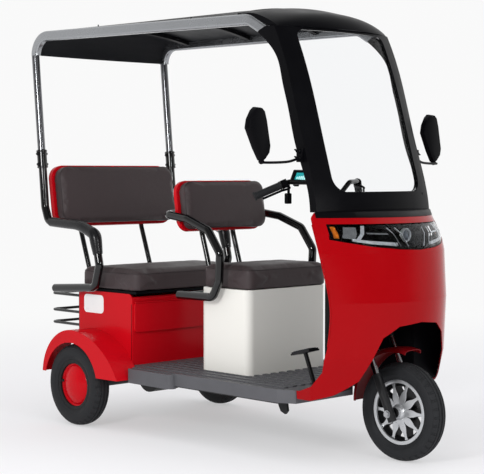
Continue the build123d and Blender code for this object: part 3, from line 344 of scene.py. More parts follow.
# Tyres: vulcanised rubber on a carcass. Two grooves part the tread into ribs, shallow sipes
# cross its shoulders, and the sidewall carries the mould's rings.
def put(name, bm, materials, body, sharp=32):
    """Make a finished piece of a bmesh: clean it, shade it, and let it ride on its body."""
    bmesh.ops.remove_doubles(bm, verts=bm.verts, dist=0.00004)
    bmesh.ops.recalc_face_normals(bm, faces=bm.faces)
    for face in bm.faces:
        face.smooth = True
    for edge in bm.edges:
        edge.smooth = len(edge.link_faces) == 2 and edge.calc_face_angle(0.0) < radians(sharp)
    mesh = bpy.data.meshes.new(name)
    bm.to_mesh(mesh)
    bm.free()
    for material in materials:
        mesh.materials.append(material)
    piece = bpy.data.objects.new(name, mesh)
    bpy.context.scene.collection.objects.link(piece)
    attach(piece, body)
    return piece


def turn(bm, outline, origin, axis, steps, closed=True):
    """Turn an outline of (radius, distance along the axis) pairs round an axis."""
    axis = Vector(axis).normalized()
    side = axis.orthogonal().normalized()
    points = [bm.verts.new(Vector(origin) + side * radius + axis * along) for radius, along in outline]
    edges = [bm.edges.new(pair) for pair in zip(points, points[1:])]
    if closed:
        edges.append(bm.edges.new((points[-1], points[0])))
    bmesh.ops.spin(
        bm, geom=points + edges, cent=origin, axis=axis, dvec=(0, 0, 0), angle=2 * pi, steps=steps,
        use_merge=True, use_normal_flip=False, use_duplicate=False,
    )


rubber = finish("vulcanised_rubber", 0.2, ("1B1C1E", "2B2C2E"), 40, (0.55, 0.75), 2.5, 0.4)

# name, body, replaced node, axle's x and y, half width, bead's radius, outer radius
tyre_table = (
    ("front", "front_wheel", "front_tyre", front_axle_x, 0.0, 0.043, 0.128, front_wheel_radius),
    (
        "rear_left", "rear_wheel_left", "rear_tyre_left", rear_axle_x, rear_wheel_y, 0.045, 0.109,
        rear_wheel_radius,
    ),
    (
        "rear_right", "rear_wheel_right", "rear_tyre_right", rear_axle_x, -rear_wheel_y, 0.045, 0.109,
        rear_wheel_radius,
    ),
)
# Half section, from the bead out to the middle of the tread: (share of width, share of height)
tyre_section = (
    (0.62, 0.0), (0.66, 0.05), (0.68, 0.12), (0.76, 0.17), (0.79, 0.155), (0.81, 0.18), (0.93, 0.34),
    (0.965, 0.36), (0.985, 0.42), (1.0, 0.52), (0.985, 0.62), (0.94, 0.72), (0.90, 0.76), (0.905, 0.80),
    (0.80, 0.87), (0.66, 0.935), (0.46, 0.975), (0.44, 0.945), (0.37, 0.95), (0.35, 0.985), (0.12, 1.0),
    (0.10, 0.965), (0.03, 0.965), (0.01, 0.998),
)
tread_steps = 108
for word, body, replaced, axle_x, axle_y, half_width, bead, outer in tyre_table:
    centre = Vector((axle_x, axle_y, outer))
    bm = bmesh.new()
    half = [(bead + up * (outer - bead), share * half_width) for share, up in tyre_section]
    section = half + [(radius, -along) for radius, along in reversed(half)]
    turn(bm, section, centre, (0, 1, 0), tread_steps)
    bmesh.ops.remove_doubles(bm, verts=bm.verts, dist=0.00004)
    sipes = []
    for face in bm.faces:
        middle = face.calc_center_median() - centre
        up = (hypot(middle.x, middle.z) - bead) / (outer - bead)
        station = int(round((atan2(middle.z, middle.x) + pi) / (2 * pi) * tread_steps - 0.5))
        if 0.83 < up < 0.97 and 0.5 < abs(middle.y) / half_width < 0.88 and station % 3 == 0:
            sipes.append(face)
    bmesh.ops.inset_individual(bm, faces=sipes, thickness=0.0014, depth=-0.0016)
    tyre = put("tyre_" + word, bm, [rubber], body, 26)
    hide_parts(replaced)

# Front wheel: gravity-cast aluminium with ten petal spokes. Their faces and the rim's lip are
# machined bright, and the pockets between them and the barrel are sprayed black.
alloy = finish(
    "machined_cast_aluminium", 0.5, ("C4C6C8", "D8DADC"), 25, (0.26, 0.42), 2, 0.1, metallic=0.85
)
pocket_black = finish("sprayed_wheel_black", 0.25, ("0B0B0C", "151517"), 20, (0.4, 0.6), 2, 0.2)

wheel_centre = Vector((front_axle_x, 0.0, front_wheel_radius))
bm = bmesh.new()
barrel_half = (
    (0.1368, 0.0305), (0.1372, 0.0285), (0.1362, 0.0272), (0.1282, 0.0270), (0.1276, 0.0140),
    (0.1130, 0.0080),
)
barrel_inner = ((0.1085, 0.0060), (0.1215, 0.0235), (0.1225, 0.0300), (0.1300, 0.0312))
barrel = list(reversed(barrel_inner)) + [(r, -a) for r, a in barrel_inner]
barrel += [(r, -a) for r, a in barrel_half] + list(reversed(barrel_half))
turn(bm, barrel, wheel_centre, (0, 1, 0), 96)
for face in bm.faces:
    middle = face.calc_center_median() - wheel_centre
    radius = hypot(middle.x, middle.z)
    face.material_index = 0 if abs(middle.y) > 0.0262 and radius > 0.1215 else 1
spoke = bmesh.new()
spoke_plan = (
    (0.026, -0.0095), (0.045, -0.0145), (0.060, -0.0172), (0.076, -0.0140), (0.092, -0.0082), (0.110, -0.0062),
    (0.1195, -0.0092), (0.1195, 0.0092), (0.110, 0.0062), (0.092, 0.0082), (0.076, 0.0140), (0.060, 0.0172),
    (0.045, 0.0145), (0.026, 0.0095),
)
face = spoke.faces.new([spoke.verts.new((across, 0.0, along)) for along, across in spoke_plan])
slab = bmesh.ops.extrude_face_region(spoke, geom=[face])
far = [item for item in slab["geom"] if isinstance(item, bmesh.types.BMVert)]
for vert in spoke.verts:
    thick = 0.030 - 0.11 * max(0.0, vert.co.z - 0.03)
    vert.co.y = -thick if vert in far else thick
bmesh.ops.recalc_face_normals(spoke, faces=spoke.faces)
for face in spoke.faces:
    face.material_index = 0 if abs(face.normal.y) > 0.5 else 1
fronts = [face for face in spoke.faces if abs(face.normal.y) > 0.5]
bmesh.ops.inset_individual(spoke, faces=fronts, thickness=0.0012, depth=0.0010)
for index in range(10):
    angle = 2 * pi * (index + 0.5) / 10
    copy = spoke.copy()
    bmesh.ops.rotate(copy, verts=copy.verts, cent=(0, 0, 0), matrix=Matrix.Rotation(angle, 3, "Y"))
    bmesh.ops.translate(copy, verts=copy.verts, vec=wheel_centre)
    spare = bpy.data.meshes.new("spoke_copy")
    copy.to_mesh(spare)
    copy.free()
    bm.from_mesh(spare)
    bpy.data.meshes.remove(spare)
spoke.free()
hub_start = len(bm.faces)
hub = [(0.0064, -0.061), (0.020, -0.061), (0.0225, -0.056), (0.024, -0.044), (0.031, -0.036), (0.034, -0.030)]
turn(bm, hub + [(radius, -along) for radius, along in reversed(hub)], wheel_centre, (0, 1, 0), 48)
bm.faces.ensure_lookup_table()
for face in bm.faces[hub_start:]:
    face.material_index = 1 if abs(face.calc_center_median().y) > 0.050 else 0
alloy_wheel = put("front_alloy_wheel", bm, [alloy, pocket_black], "front_wheel", 30)
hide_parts("front_rim")


# Rear wheels: a rolled black flange, pressed round the red dome to hold the tyre's bead, and
# the rubber valve of the inner tube.
for side, word in ((-1, "right"), (1, "left")):
    body = "rear_wheel_" + word
    bm = bmesh.new()
    face_y = side * rear_wheel_y
    flange = (
        (0.1015, side * 0.0265), (0.1035, side * 0.0335), (0.1120, side * 0.0350), (0.1215, side * 0.0345),
        (0.1240, side * 0.0315), (0.1190, side * 0.0305), (0.1090, side * 0.0310),
    )
    turn(bm, flange, (rear_axle_x, face_y, rear_wheel_radius), (0, 1, 0), 72)
    put("rear_flange_" + word, bm, [pocket_black], body)
    bm = bmesh.new()
    valve = ((0.0, 0.019), (0.0032, 0.019), (0.0036, 0.012), (0.0058, 0.010), (0.0068, 0.0), (0.0, 0.0))
    turn(
        bm, valve, (rear_axle_x - 0.0915, face_y + side * 0.026, 0.207), (0, side, 0), 16, closed=False
    )
    put("tyre_valve_" + word, bm, [rubber], body)


# Seat cushions and backrests: polyurethane foam under brown leatherette, pulled over a board
# and stapled below. The cover bulges between the edge seams, which are stitched with a cord.
leatherette = finish("brown_leatherette", 0.3, ("3A3132", "443A3B"), 90, (0.42, 0.58), 2.2, 0.35)
tree = leatherette.node_tree
shader = tree.nodes["Principled BSDF"]
grain_bump = next(item for item in tree.nodes if item.type == "BUMP")
place = add_node(tree, "ShaderNodeTexCoord")
pebble = add_node(
    tree, "ShaderNodeTexVoronoi", {"Scale": 1000 / 3.2, "feature": "DISTANCE_TO_EDGE"},
    {"Vector": place.outputs["Object"]},
)
creases = add_node(
    tree, "ShaderNodeTexNoise", {"Scale": 1000 / 55, "Detail": 3.0, "Distortion": 1.2},
    {"Vector": place.outputs["Object"]},
)
pebble_bump = add_node(
    tree, "ShaderNodeBump", {"Strength": 0.25, "Distance": 0.0005},
    {"Height": pebble.outputs["Distance"], "Normal": grain_bump.outputs["Normal"]},
)
crease_bump = add_node(
    tree, "ShaderNodeBump", {"Strength": 0.22, "Distance": 0.004},
    {"Height": creases.outputs["Fac"], "Normal": pebble_bump.outputs["Normal"]},
)
tree.links.new(crease_bump.outputs["Normal"], shader.inputs["Normal"])
seam_cord = finish("leatherette_seam_cord", 0.3, ("2B2526", "352E2F"), 12, (0.5, 0.65), 1.5, 0.5)


def tube(name, points, radius, material, body, cyclic=False, radii=None, smooth=False, sides=3):
    """A round bead or sleeve along points: a curve made a mesh, which rides on its body."""
    data = bpy.data.curves.new(name, "CURVE")
    data.dimensions = "3D"
    data.bevel_depth = radius
    data.bevel_resolution = sides
    data.use_fill_caps = True
    spline = data.splines.new("NURBS" if smooth else "POLY")
    spline.points.add(len(points) - 1)
    for index, point in enumerate(points):
        spline.points[index].co = (*point, 1.0)
        spline.points[index].radius = radii[index] if radii else 1.0
    spline.use_cyclic_u = cyclic
    if smooth:
        spline.order_u = 3
        spline.use_endpoint_u = not cyclic
        spline.resolution_u = 6
    drawn = bpy.data.objects.new(name, data)
    bpy.context.scene.collection.objects.link(drawn)
    mesh = bpy.data.meshes.new_from_object(drawn.evaluated_get(bpy.context.evaluated_depsgraph_get()))
    bpy.data.objects.remove(drawn)
    bm = bmesh.new()
    bm.from_mesh(mesh)
    bpy.data.meshes.remove(mesh)
    for face in bm.faces:
        face.material_index = 0
    return put(name, bm, [material], body, 50)


def baked(source):
    """The evaluated mesh of an object, with its modifiers applied."""
    return bpy.data.meshes.new_from_object(source.evaluated_get(bpy.context.evaluated_depsgraph_get()))


def round_edges(bm, edges, radius, segments, profile=0.5):
    """Round edges of a bmesh off by a radius."""
    bmesh.ops.bevel(
        bm, geom=edges, offset=radius, offset_type="OFFSET", segments=segments, profile=profile, affect="EDGES",
        material=-1,
    )


back_turn = Matrix.Rotation(radians(-8.0), 4, "Y") @ Matrix(
    ((0, 0, 1, 0), (1, 0, 0, 0), (0, 1, 0, 0), (0, 0, 0, 1))
)
flat_turn = Matrix(((0, 1, 0, 0), (-1, 0, 0, 0), (0, 0, 1, 0), (0, 0, 0, 1)))
lean_x = cos(radians(8.0))
lean_z = sin(radians(8.0))
# name, replaced node, body, plane's matrix, half width, half depth, thickness, corner, cap, fill
cushion_table = (
    (
        "bench_back_cushion", "bench_back_pad", "chassis",
        Matrix.Translation((rear_axle_x - 0.332 + 0.0268 * lean_x, 0, 1.090 + 0.0268 * lean_z)) @ back_turn,
        0.377, 0.150, 0.057, 0.066, 0.010, 0.85,
    ),
    (
        "driver_back_cushion", "driver_back_pad", "chassis",
        Matrix.Translation((rear_axle_x + 0.478 + 0.0208 * lean_x, 0, 1.052 + 0.0208 * lean_z)) @ back_turn,
        0.263, 0.117, 0.048, 0.058, 0.010, 0.85,
    ),
    (
        "bench_seat_cushion", "bench_cushion", "bench_lid",
        Matrix.Translation((rear_axle_x + 0.1175, 0, 0.6533)) @ flat_turn,
        0.380, 0.215, 0.090, 0.040, 0.012, 0.75,
    ),
    (
        "driver_seat_cushion", "driver_cushion", "chassis",
        Matrix.Translation((rear_axle_x + 0.8075, 0, 0.6910)) @ flat_turn,
        0.259, 0.160, 0.095, 0.036, 0.010, 0.75,
    ),
)
for name, replaced, body, matrix, half_x, half_y, thick, corner, cap, fill in cushion_table:
    bm = bmesh.new()
    bmesh.ops.create_cube(bm, size=1.0)
    bmesh.ops.scale(bm, vec=(2 * half_x, 2 * half_y, thick), verts=bm.verts)
    bmesh.ops.translate(bm, vec=(0, 0, thick / 2), verts=bm.verts)
    uprights = [edge for edge in bm.edges if abs(edge.verts[0].co.z - edge.verts[1].co.z) > thick / 2]
    round_edges(bm, uprights, corner, 8)
    rims = [
        edge for edge in bm.edges
        if edge.verts[0].co.z > thick * 0.9 and edge.verts[1].co.z > thick * 0.9 and len(edge.link_faces) == 2
    ]
    round_edges(bm, rims, thick * 0.2, 3)
    bmesh.ops.transform(bm, matrix=matrix, verts=bm.verts)
    start_mesh = bpy.data.meshes.new(name + "_start")
    bm.to_mesh(start_mesh)
    bm.free()
    shaper = bpy.data.objects.new(name + "_start", start_mesh)
    bpy.context.scene.collection.objects.link(shaper)
    remesh = shaper.modifiers.new("voxels", "REMESH")
    remesh.mode = "VOXEL"
    remesh.voxel_size = 0.0058
    remeshed = baked(shaper)
    shaper.modifiers.clear()
    shaper.data = remeshed
    rest_points = [vert.co.copy() for vert in remeshed.vertices]
    moved_points = rest_points
    cloth = shaper.modifiers.new("foam_pressure", "CLOTH")
    cloth.settings.quality = 4
    cloth.settings.use_pressure = True
    cloth.settings.uniform_pressure_force = 4.0
    cloth.settings.tension_stiffness = 12.0
    cloth.settings.effector_weights.gravity = 0.0
    cloth.point_cache.frame_start = 1
    cloth.point_cache.frame_end = 20
    for step in range(1, 21):
        bpy.context.scene.frame_set(step)
    swollen = baked(shaper)
    moved_points = [vert.co.copy() for vert in swollen.vertices]
    shaper.modifiers.clear()
    bpy.context.scene.frame_set(1)
    inverse = matrix.inverted()
    for vert, old, new in zip(remeshed.vertices, rest_points, moved_points):
        shift = new - old
        if shift.length > cap:
            shift *= cap / shift.length
        local = inverse @ (old + shift)
        crown = (1 - min(1.0, (local.x / half_x) ** 2)) * (1 - min(1.0, (local.y / half_y) ** 2))
        high = max(0.0, min(1.0, local.z / thick - 0.4) / 0.6)
        local.z += 0.004 * crown * high
        local.z = max(local.z, 0.0)
        vert.co = matrix @ local
    cushion_bm = bmesh.new()
    cushion_bm.from_mesh(remeshed)
    for _ in range(2):
        bmesh.ops.smooth_vert(
            cushion_bm, verts=cushion_bm.verts, factor=0.5, use_axis_x=True, use_axis_y=True, use_axis_z=True
        )
    surface = BVHTree.FromBMesh(cushion_bm)
    cushion = put(name, cushion_bm, [leatherette], body, 180)
    bpy.data.objects.remove(shaper)
    finer = cushion.modifiers.new("finer", "SUBSURF")
    finer.levels = 1
    finer.render_levels = 1
    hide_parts(replaced)
    # The seam between the face and the side gusset, laid on the finished cover
    loop = []
    inset = thick * 0.10
    for centre_x, centre_y, start in ((1, 1, 0), (-1, 1, 1), (-1, -1, 2), (1, -1, 3)):
        for step in range(9):
            angle = (start + step / 8) * pi / 2
            loop.append((
                centre_x * (half_x - corner) + (corner - inset) * cos(angle),
                centre_y * (half_y - corner) + (corner - inset) * sin(angle),
            ))
    run = []
    for (x0, y0), (x1, y1) in zip(loop, loop[1:] + loop[:1]):
        parts = max(1, int(hypot(x1 - x0, y1 - y0) / 0.02))
        run += [(x0 + (x1 - x0) * k / parts, y0 + (y1 - y0) * k / parts) for k in range(parts)]
    seam = []
    for x, y in run:
        found, normal, _, _ = surface.find_nearest(matrix @ Vector((x, y, thick * 0.93)))
        seam.append(found + normal * 0.0004)
    tube(name + "_seam", seam, 0.0016, seam_cord, body, cyclic=True, sides=2)


# Armrest sleeves of the bench: slipped-on foam rubber, swollen at the front over the bend.
# The CAD tube runs on inside each of them.
sleeve_path = (
    (-0.268, 0.9672), (-0.150, 0.9625), (-0.040, 0.9580), (0.0404, 0.9287), (0.0780, 0.9150), (0.0871, 0.8760),
    (0.1000, 0.8220),
)
sleeve_radii = (0.92, 1.0, 1.0, 1.05, 1.18, 1.16, 0.92)
sleeve_foam = finish("foam_rubber_sleeve", 0.3, ("101012", "1A1A1C"), 30, (0.22, 0.34), 2, 0.12)
for side, word in ((-1, "right"), (1, "left")):
    path = [(rear_axle_x + x, side * 0.420, z) for x, z in sleeve_path]
    tube(
        "armrest_sleeve_" + word, path, 0.0255, sleeve_foam, "chassis",
        radii=sleeve_radii, smooth=True, sides=6,
    )

# Roof-post collars: a steel sleeve on each post with a rolled ring at each end, pinched by
# cross bolts where the post plugs into the seat frame.
def peg(bm, radius, length, place, sides):
    """A round or many-sided peg along its own Z."""
    bmesh.ops.create_cone(
        bm, cap_ends=True, cap_tris=False, segments=sides, radius1=radius, radius2=radius, depth=length,
        matrix=place,
    )


quarter_turn = Matrix.Rotation(pi / 2, 4, "X")
# radius, start and end from the post's middle, number of sides
washer_and_head = ((0.0095, 0.0238, 0.0256, 16), (0.0068, 0.0256, 0.0312, 6))
post_foot = Vector((rear_axle_x - 0.338, 0, 1.234))
post_head = Vector((rear_axle_x - 0.392, 0, 1.790))
post_line = (post_head - post_foot).normalized()
for side, word in ((-1, "right"), (1, "left")):
    foot = post_foot + Vector((0, side * 0.420, 0))
    bm = bmesh.new()
    for along in (0.004, 0.082):
        ring = ((0.0242, -0.005), (0.0262, -0.004), (0.0270, 0.0), (0.0262, 0.004), (0.0242, 0.005))
        turn(bm, [(radius, along + rise) for radius, rise in ring], foot, post_line, 32)
    put("collar_rings_" + word, bm, [tube_gloss], "chassis")
    bm = bmesh.new()
    for along in (0.017, 0.069):
        middle = foot + post_line * along
        for way in (-1, 1):
            for kind_radius, near, far_end, sides in washer_and_head:
                matrix = Matrix.Translation(middle + Vector((0, way * (near + far_end) / 2, 0)))
                peg(bm, kind_radius, far_end - near, matrix @ quarter_turn, sides)
    put("collar_bolts_" + word, bm, [black_steel], "chassis")

# Handlebar grips: moulded rubber sleeves with ribs against slipping and a flange at each end,
# pushed over the bar.
bar_hand = Vector((rear_axle_x + 1.171, 0.220, 1.170))
bar_tip = Vector((rear_axle_x + 1.078, 0.340, 1.106))
bm = bmesh.new()
for side in (-1, 1):
    inner = Vector((bar_hand.x, side * bar_hand.y, bar_hand.z))
    tip = Vector((bar_tip.x, side * bar_tip.y, bar_tip.z))
    way = (tip - inner).normalized()
    length = (tip - inner).length
    outline = [(0.0113, 0.039), (0.0185, 0.039), (0.0190, 0.043), (0.0168, 0.045)]
    rib_count = 18
    for rib in range(rib_count):
        at = 0.047 + rib * (length - 0.058) / rib_count
        outline += [(0.0155, at), (0.0170, at + 0.0012), (0.0170, at + 0.0036), (0.0155, at + 0.0048)]
    outline += [(0.0168, length - 0.009), (0.0195, length - 0.007), (0.0195, length - 0.001), (0.0150, length)]
    outline += [(0.0113, length)]
    turn(bm, outline, inner, way, 28)
grip_pair = put("ribbed_grips", bm, [rubber], "steering")
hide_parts("grips")

# Display: a small ABS box on a stub on the bar, with a teal backlit panel, which also glows
# through the smoked back. Its gauge is plain bars and says nothing.
def block(bm, size, place=Matrix()):
    """A cuboid with its middle at a place."""
    bmesh.ops.create_cube(bm, size=1.0, matrix=place @ Matrix.Diagonal((*size, 1)))


teal_glow = finish(
    "backlit_liquid_crystal", 0.5, ("0F6E74", "2FA6A8"), 14, (0.15, 0.25), 2, 0.05, glow=0.9
)
pale_bar = finish("backlit_gauge_bars", 0.5, ("A8F0EE", "D5FBF8"), 6, (0.2, 0.3), 2, 0.05, glow=0.8)
display_turn = Matrix((
    (0, 0.436, -0.9, rear_axle_x + 1.150), (1, 0, 0, -0.142), (0, 0.9, 0.436, 1.2), (0, 0, 0, 1),
))
bm = bmesh.new()
block(bm, (0.086, 0.054, 0.020))
round_edges(bm, bm.edges[:], 0.006, 3)
bmesh.ops.translate(bm, vec=(0, 0, -0.010), verts=bm.verts)
block(bm, (0.026, 0.030, 0.012), Matrix.Translation((0, -0.034, -0.008)))
bmesh.ops.transform(bm, matrix=display_turn, verts=bm.verts)
display_box = put("display_box", bm, [satin_abs], "steering")
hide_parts("display")
for word, level, half_x, half_y in (("face", 0.0004, 0.036, 0.020), ("back", -0.0204, 0.036, 0.020)):
    bm = bmesh.new()
    block(bm, (2 * half_x, 2 * half_y, 0.0012))
    round_edges(bm, bm.edges[:], 0.0004, 2)
    bmesh.ops.transform(bm, matrix=display_turn @ Matrix.Translation((0, 0, level)), verts=bm.verts)
    put("display_glow_" + word, bm, [teal_glow], "steering")
    bm = bmesh.new()
    for index in range(5):
        spot = (-0.024 + index * 0.012, -0.004, level + (0.0009 if level > 0 else -0.0009))
        block(bm, (0.0075, 0.010 + 0.003 * index, 0.0006), display_turn @ Matrix.Translation(spot))
    put("display_bars_" + word, bm, [pale_bar], "steering")


# Headlamp: one polycarbonate cover across the nose over a black housing. Inside are an amber
# indicator at each end, bright reflector scoops, a low light strip, fins and a projector.
def nose_at(y, z, inset):
    """Point on the front shell's curved nose, drawn in by a depth."""
    share = (z - 0.880) / 0.080
    half = 0.400 - 0.002 * share
    side_x = 1.487 - 0.012 * share
    nose_x = 1.715 - 0.025 * share
    if z > 0.960:
        share = (z - 0.960) / 0.070
        half = 0.398 - 0.003 * share
        side_x = 1.475 - 0.020 * share
        nose_x = 1.690 - 0.080 * share
    rise = nose_x - side_x
    radius = (rise * rise + half * half) / (2 * rise)
    return Vector((rear_axle_x + nose_x - radius + sqrt(max(0.0, radius * radius - y * y)) - inset, y, z))


def lamp_bottom(y):
    """Height of the lamp's lower edge at a distance from the middle."""
    edge = ((0.0, 0.891), (0.113, 0.896), (0.223, 0.908), (0.312, 0.926), (0.356, 0.938))
    for (y0, z0), (y1, z1) in zip(edge, edge[1:]):
        if abs(y) <= y1:
            return z0 + (z1 - z0) * (abs(y) - y0) / (y1 - y0)
    return edge[-1][1]


def wall_behind(bm, thickness):
    """Give a sheet that faces forward a wall behind it."""
    bm.normal_update()
    if sum(face.normal.x for face in bm.faces) < 0:
        bmesh.ops.reverse_faces(bm, faces=bm.faces)
    bmesh.ops.solidify(bm, geom=bm.faces[:], thickness=thickness)


def lamp_sheet(name, y0, y1, low, high, inset, thickness, material, lean=0.0, columns=40, rows=6):
    """A curved panel of the lamp between two sides, at shares of the lamp's height."""
    bm = bmesh.new()
    bmesh.ops.create_grid(bm, x_segments=columns, y_segments=rows, size=1.0)
    for vert in bm.verts:
        u = (vert.co.x + 1) / 2
        v = (vert.co.y + 1) / 2
        up = low + (high - low) * v
        y = y0 + (y1 - y0) * u + lean * (v - 0.5)
        bottom = lamp_bottom(y)
        vert.co = nose_at(y, bottom + up * (0.9995 - bottom), inset)
    wall_behind(bm, thickness)
    return put(name, bm, [material], "chassis")


def clear_sheet(name, bending, roughness, tint):
    """A clear plastic with little of its own colour."""
    material = bpy.data.materials.new(name)
    material.use_nodes = True
    shader = material.node_tree.nodes["Principled BSDF"]
    shader.inputs["Transmission Weight"].default_value = 1.0
    shader.inputs["IOR"].default_value = bending
    shader.inputs["Roughness"].default_value = roughness
    shader.inputs["Base Color"].default_value = linear(tint)
    return material


lamp_cover = clear_sheet("clear_polycarbonate", 1.12, 0.02, "F4F6F8")
lamp_black = finish("black_lamp_housing", 0.1, ("040405", "08090A"), 40, (0.2, 0.35), 4, 0.1)
chrome = finish(
    "vacuum_metallised_reflector", 0.5, ("C9CCD0", "E6E8EA"), 20, (0.08, 0.18), 3, 0.08, metallic=1.0
)
amber = finish("amber_polycarbonate", 0.5, ("C25A08", "DE7A12"), 10, (0.15, 0.3), 3, 0.2, glow=0.12)
diffuser = finish("opal_light_strip", 0.5, ("B9BDC2", "DDE0E3"), 15, (0.2, 0.35), 3, 0.1)

# The sheets' numbers: two sides in y, low and high shares of the height, depth, thickness
lamp_half_width = 0.352
cover = lamp_sheet(
    "headlamp_cover", 0.001 - lamp_half_width, lamp_half_width - 0.001, 0.0, 1.0, 0.0045, 0.0022, lamp_cover,
    columns=72,
)
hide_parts("headlamp")
lamp_sheet(
    "headlamp_housing", -lamp_half_width, lamp_half_width, 0.0, 1.0, 0.070, 0.002, lamp_black,
    columns=72,
)
for word, low, high in (("top", 0.955, 1.0), ("low", 0.0, 0.05)):
    lamp_sheet(
        "headlamp_rim_" + word, -lamp_half_width, lamp_half_width, low, high, 0.006, 0.062, lamp_black,
        columns=72, rows=1,
    )
# The same numbers, then finish, slot, lean, columns and rows
lamp_inside = (
    ("indicator_end", 0.3520, 0.3425, 0.0, 1.0, 0.0055, 0.030, lamp_black, "black_plastic", 0.0, 2, 6),
    ("indicator_wall", 0.3195, 0.3160, 0.0, 1.0, 0.0055, 0.018, lamp_black, "black_plastic", 0.0, 2, 6),
    ("indicator", 0.3415, 0.3205, 0.18, 0.86, 0.017, 0.010, amber, "lamp_lens", 0.0, 4, 6),
    ("reflector", 0.306, 0.262, 0.24, 0.84, 0.013, 0.002, chrome, "cast_aluminium", -0.020, 8, 6),
    # The reflector flash is a pale diagonal strip of the opal finish: a painted highlight beside the reflector.
    ("reflector_painted_highlight", 0.252, 0.238, 0.16, 0.92, 0.012, 0.002, diffuser, "white_plastic", -0.045, 4, 6),
    ("light_strip", 0.285, 0.105, 0.13, 0.26, 0.010, 0.004, diffuser, "white_plastic", 0.0, 24, 2),
    ("upper_blade", 0.225, 0.130, 0.56, 0.62, 0.014, 0.003, chrome, "cast_aluminium", 0.0, 12, 1),
)
for side, word in ((-1, "right"), (1, "left")):
    for name, outer, inner, low, high, depth, thickness, material, slot, lean, columns, rows in lamp_inside:
        lamp_sheet(
            name + "_" + word, side * outer, side * inner, low, high, depth, thickness, material,
            side * lean, columns, rows,
        )
    for index, start in enumerate((0.128, 0.110, 0.086, 0.070)):
        lamp_sheet(
            "lamp_fin_" + word + "_" + str(index), side * start, side * (start - 0.0035), 0.12, 0.84, 0.010, 0.004,
            chrome if index % 2 else lamp_black, lean=side * 0.036, columns=1,
        )

# Projector: an opal ring and a ground glass lens, clipped in the housing near the middle of
# the nose.
lens_glass = finish("projector_lens_glass", 0.6, ("3A4048", "59616A"), 12, (0.03, 0.08), 3, 0.03)
projector_y, projector_z, projector_depth = -0.012, 0.950, 0.056
projector_at = nose_at(projector_y, projector_z, projector_depth)
bm = bmesh.new()
bezel = ((0.0255, -0.004), (0.0285, 0.0), (0.0285, 0.014), (0.0265, 0.017), (0.0235, 0.014), (0.0225, 0.004))
turn(bm, bezel, projector_at, (1, 0, 0), 40)
put("projector_bezel", bm, [diffuser], "chassis")
bm = bmesh.new()
ball = [(0.0222 * sin(k * pi / 16), 0.002 + 0.013 * cos(k * pi / 16)) for k in range(9)]
turn(bm, ball + [(0.0, 0.002)], projector_at, (1, 0, 0), 40, closed=False)
put("projector_lens", bm, [lens_glass], "chassis")


# Windscreen: clear acrylic sheet, bent to the frame's curve while hot. It is almost free of
# tint and shows only faint reflections.
screen_clear = clear_sheet("clear_acrylic", 1.08, 0.0, "FBFCFD")
dress(("windscreen_glass",), screen_clear)

# Mirrors: faceted ABS heads with silvered glass, on bent steel arms with a ball joint. A clamp
# with two wing screws holds each arm on its pillar.
mirror_glass = finish(
    "silvered_mirror_glass", 0.5, ("D5D8DB", "E4E6E8"), 60, (0.02, 0.05), 3, 0.01, metallic=1.0
)


def push_out(bm, face, shift):
    """Make a face a slab."""
    pushed = bmesh.ops.extrude_face_region(bm, geom=[face])
    moved = [item for item in pushed["geom"] if isinstance(item, bmesh.types.BMVert)]
    bmesh.ops.translate(bm, verts=moved, vec=shift)


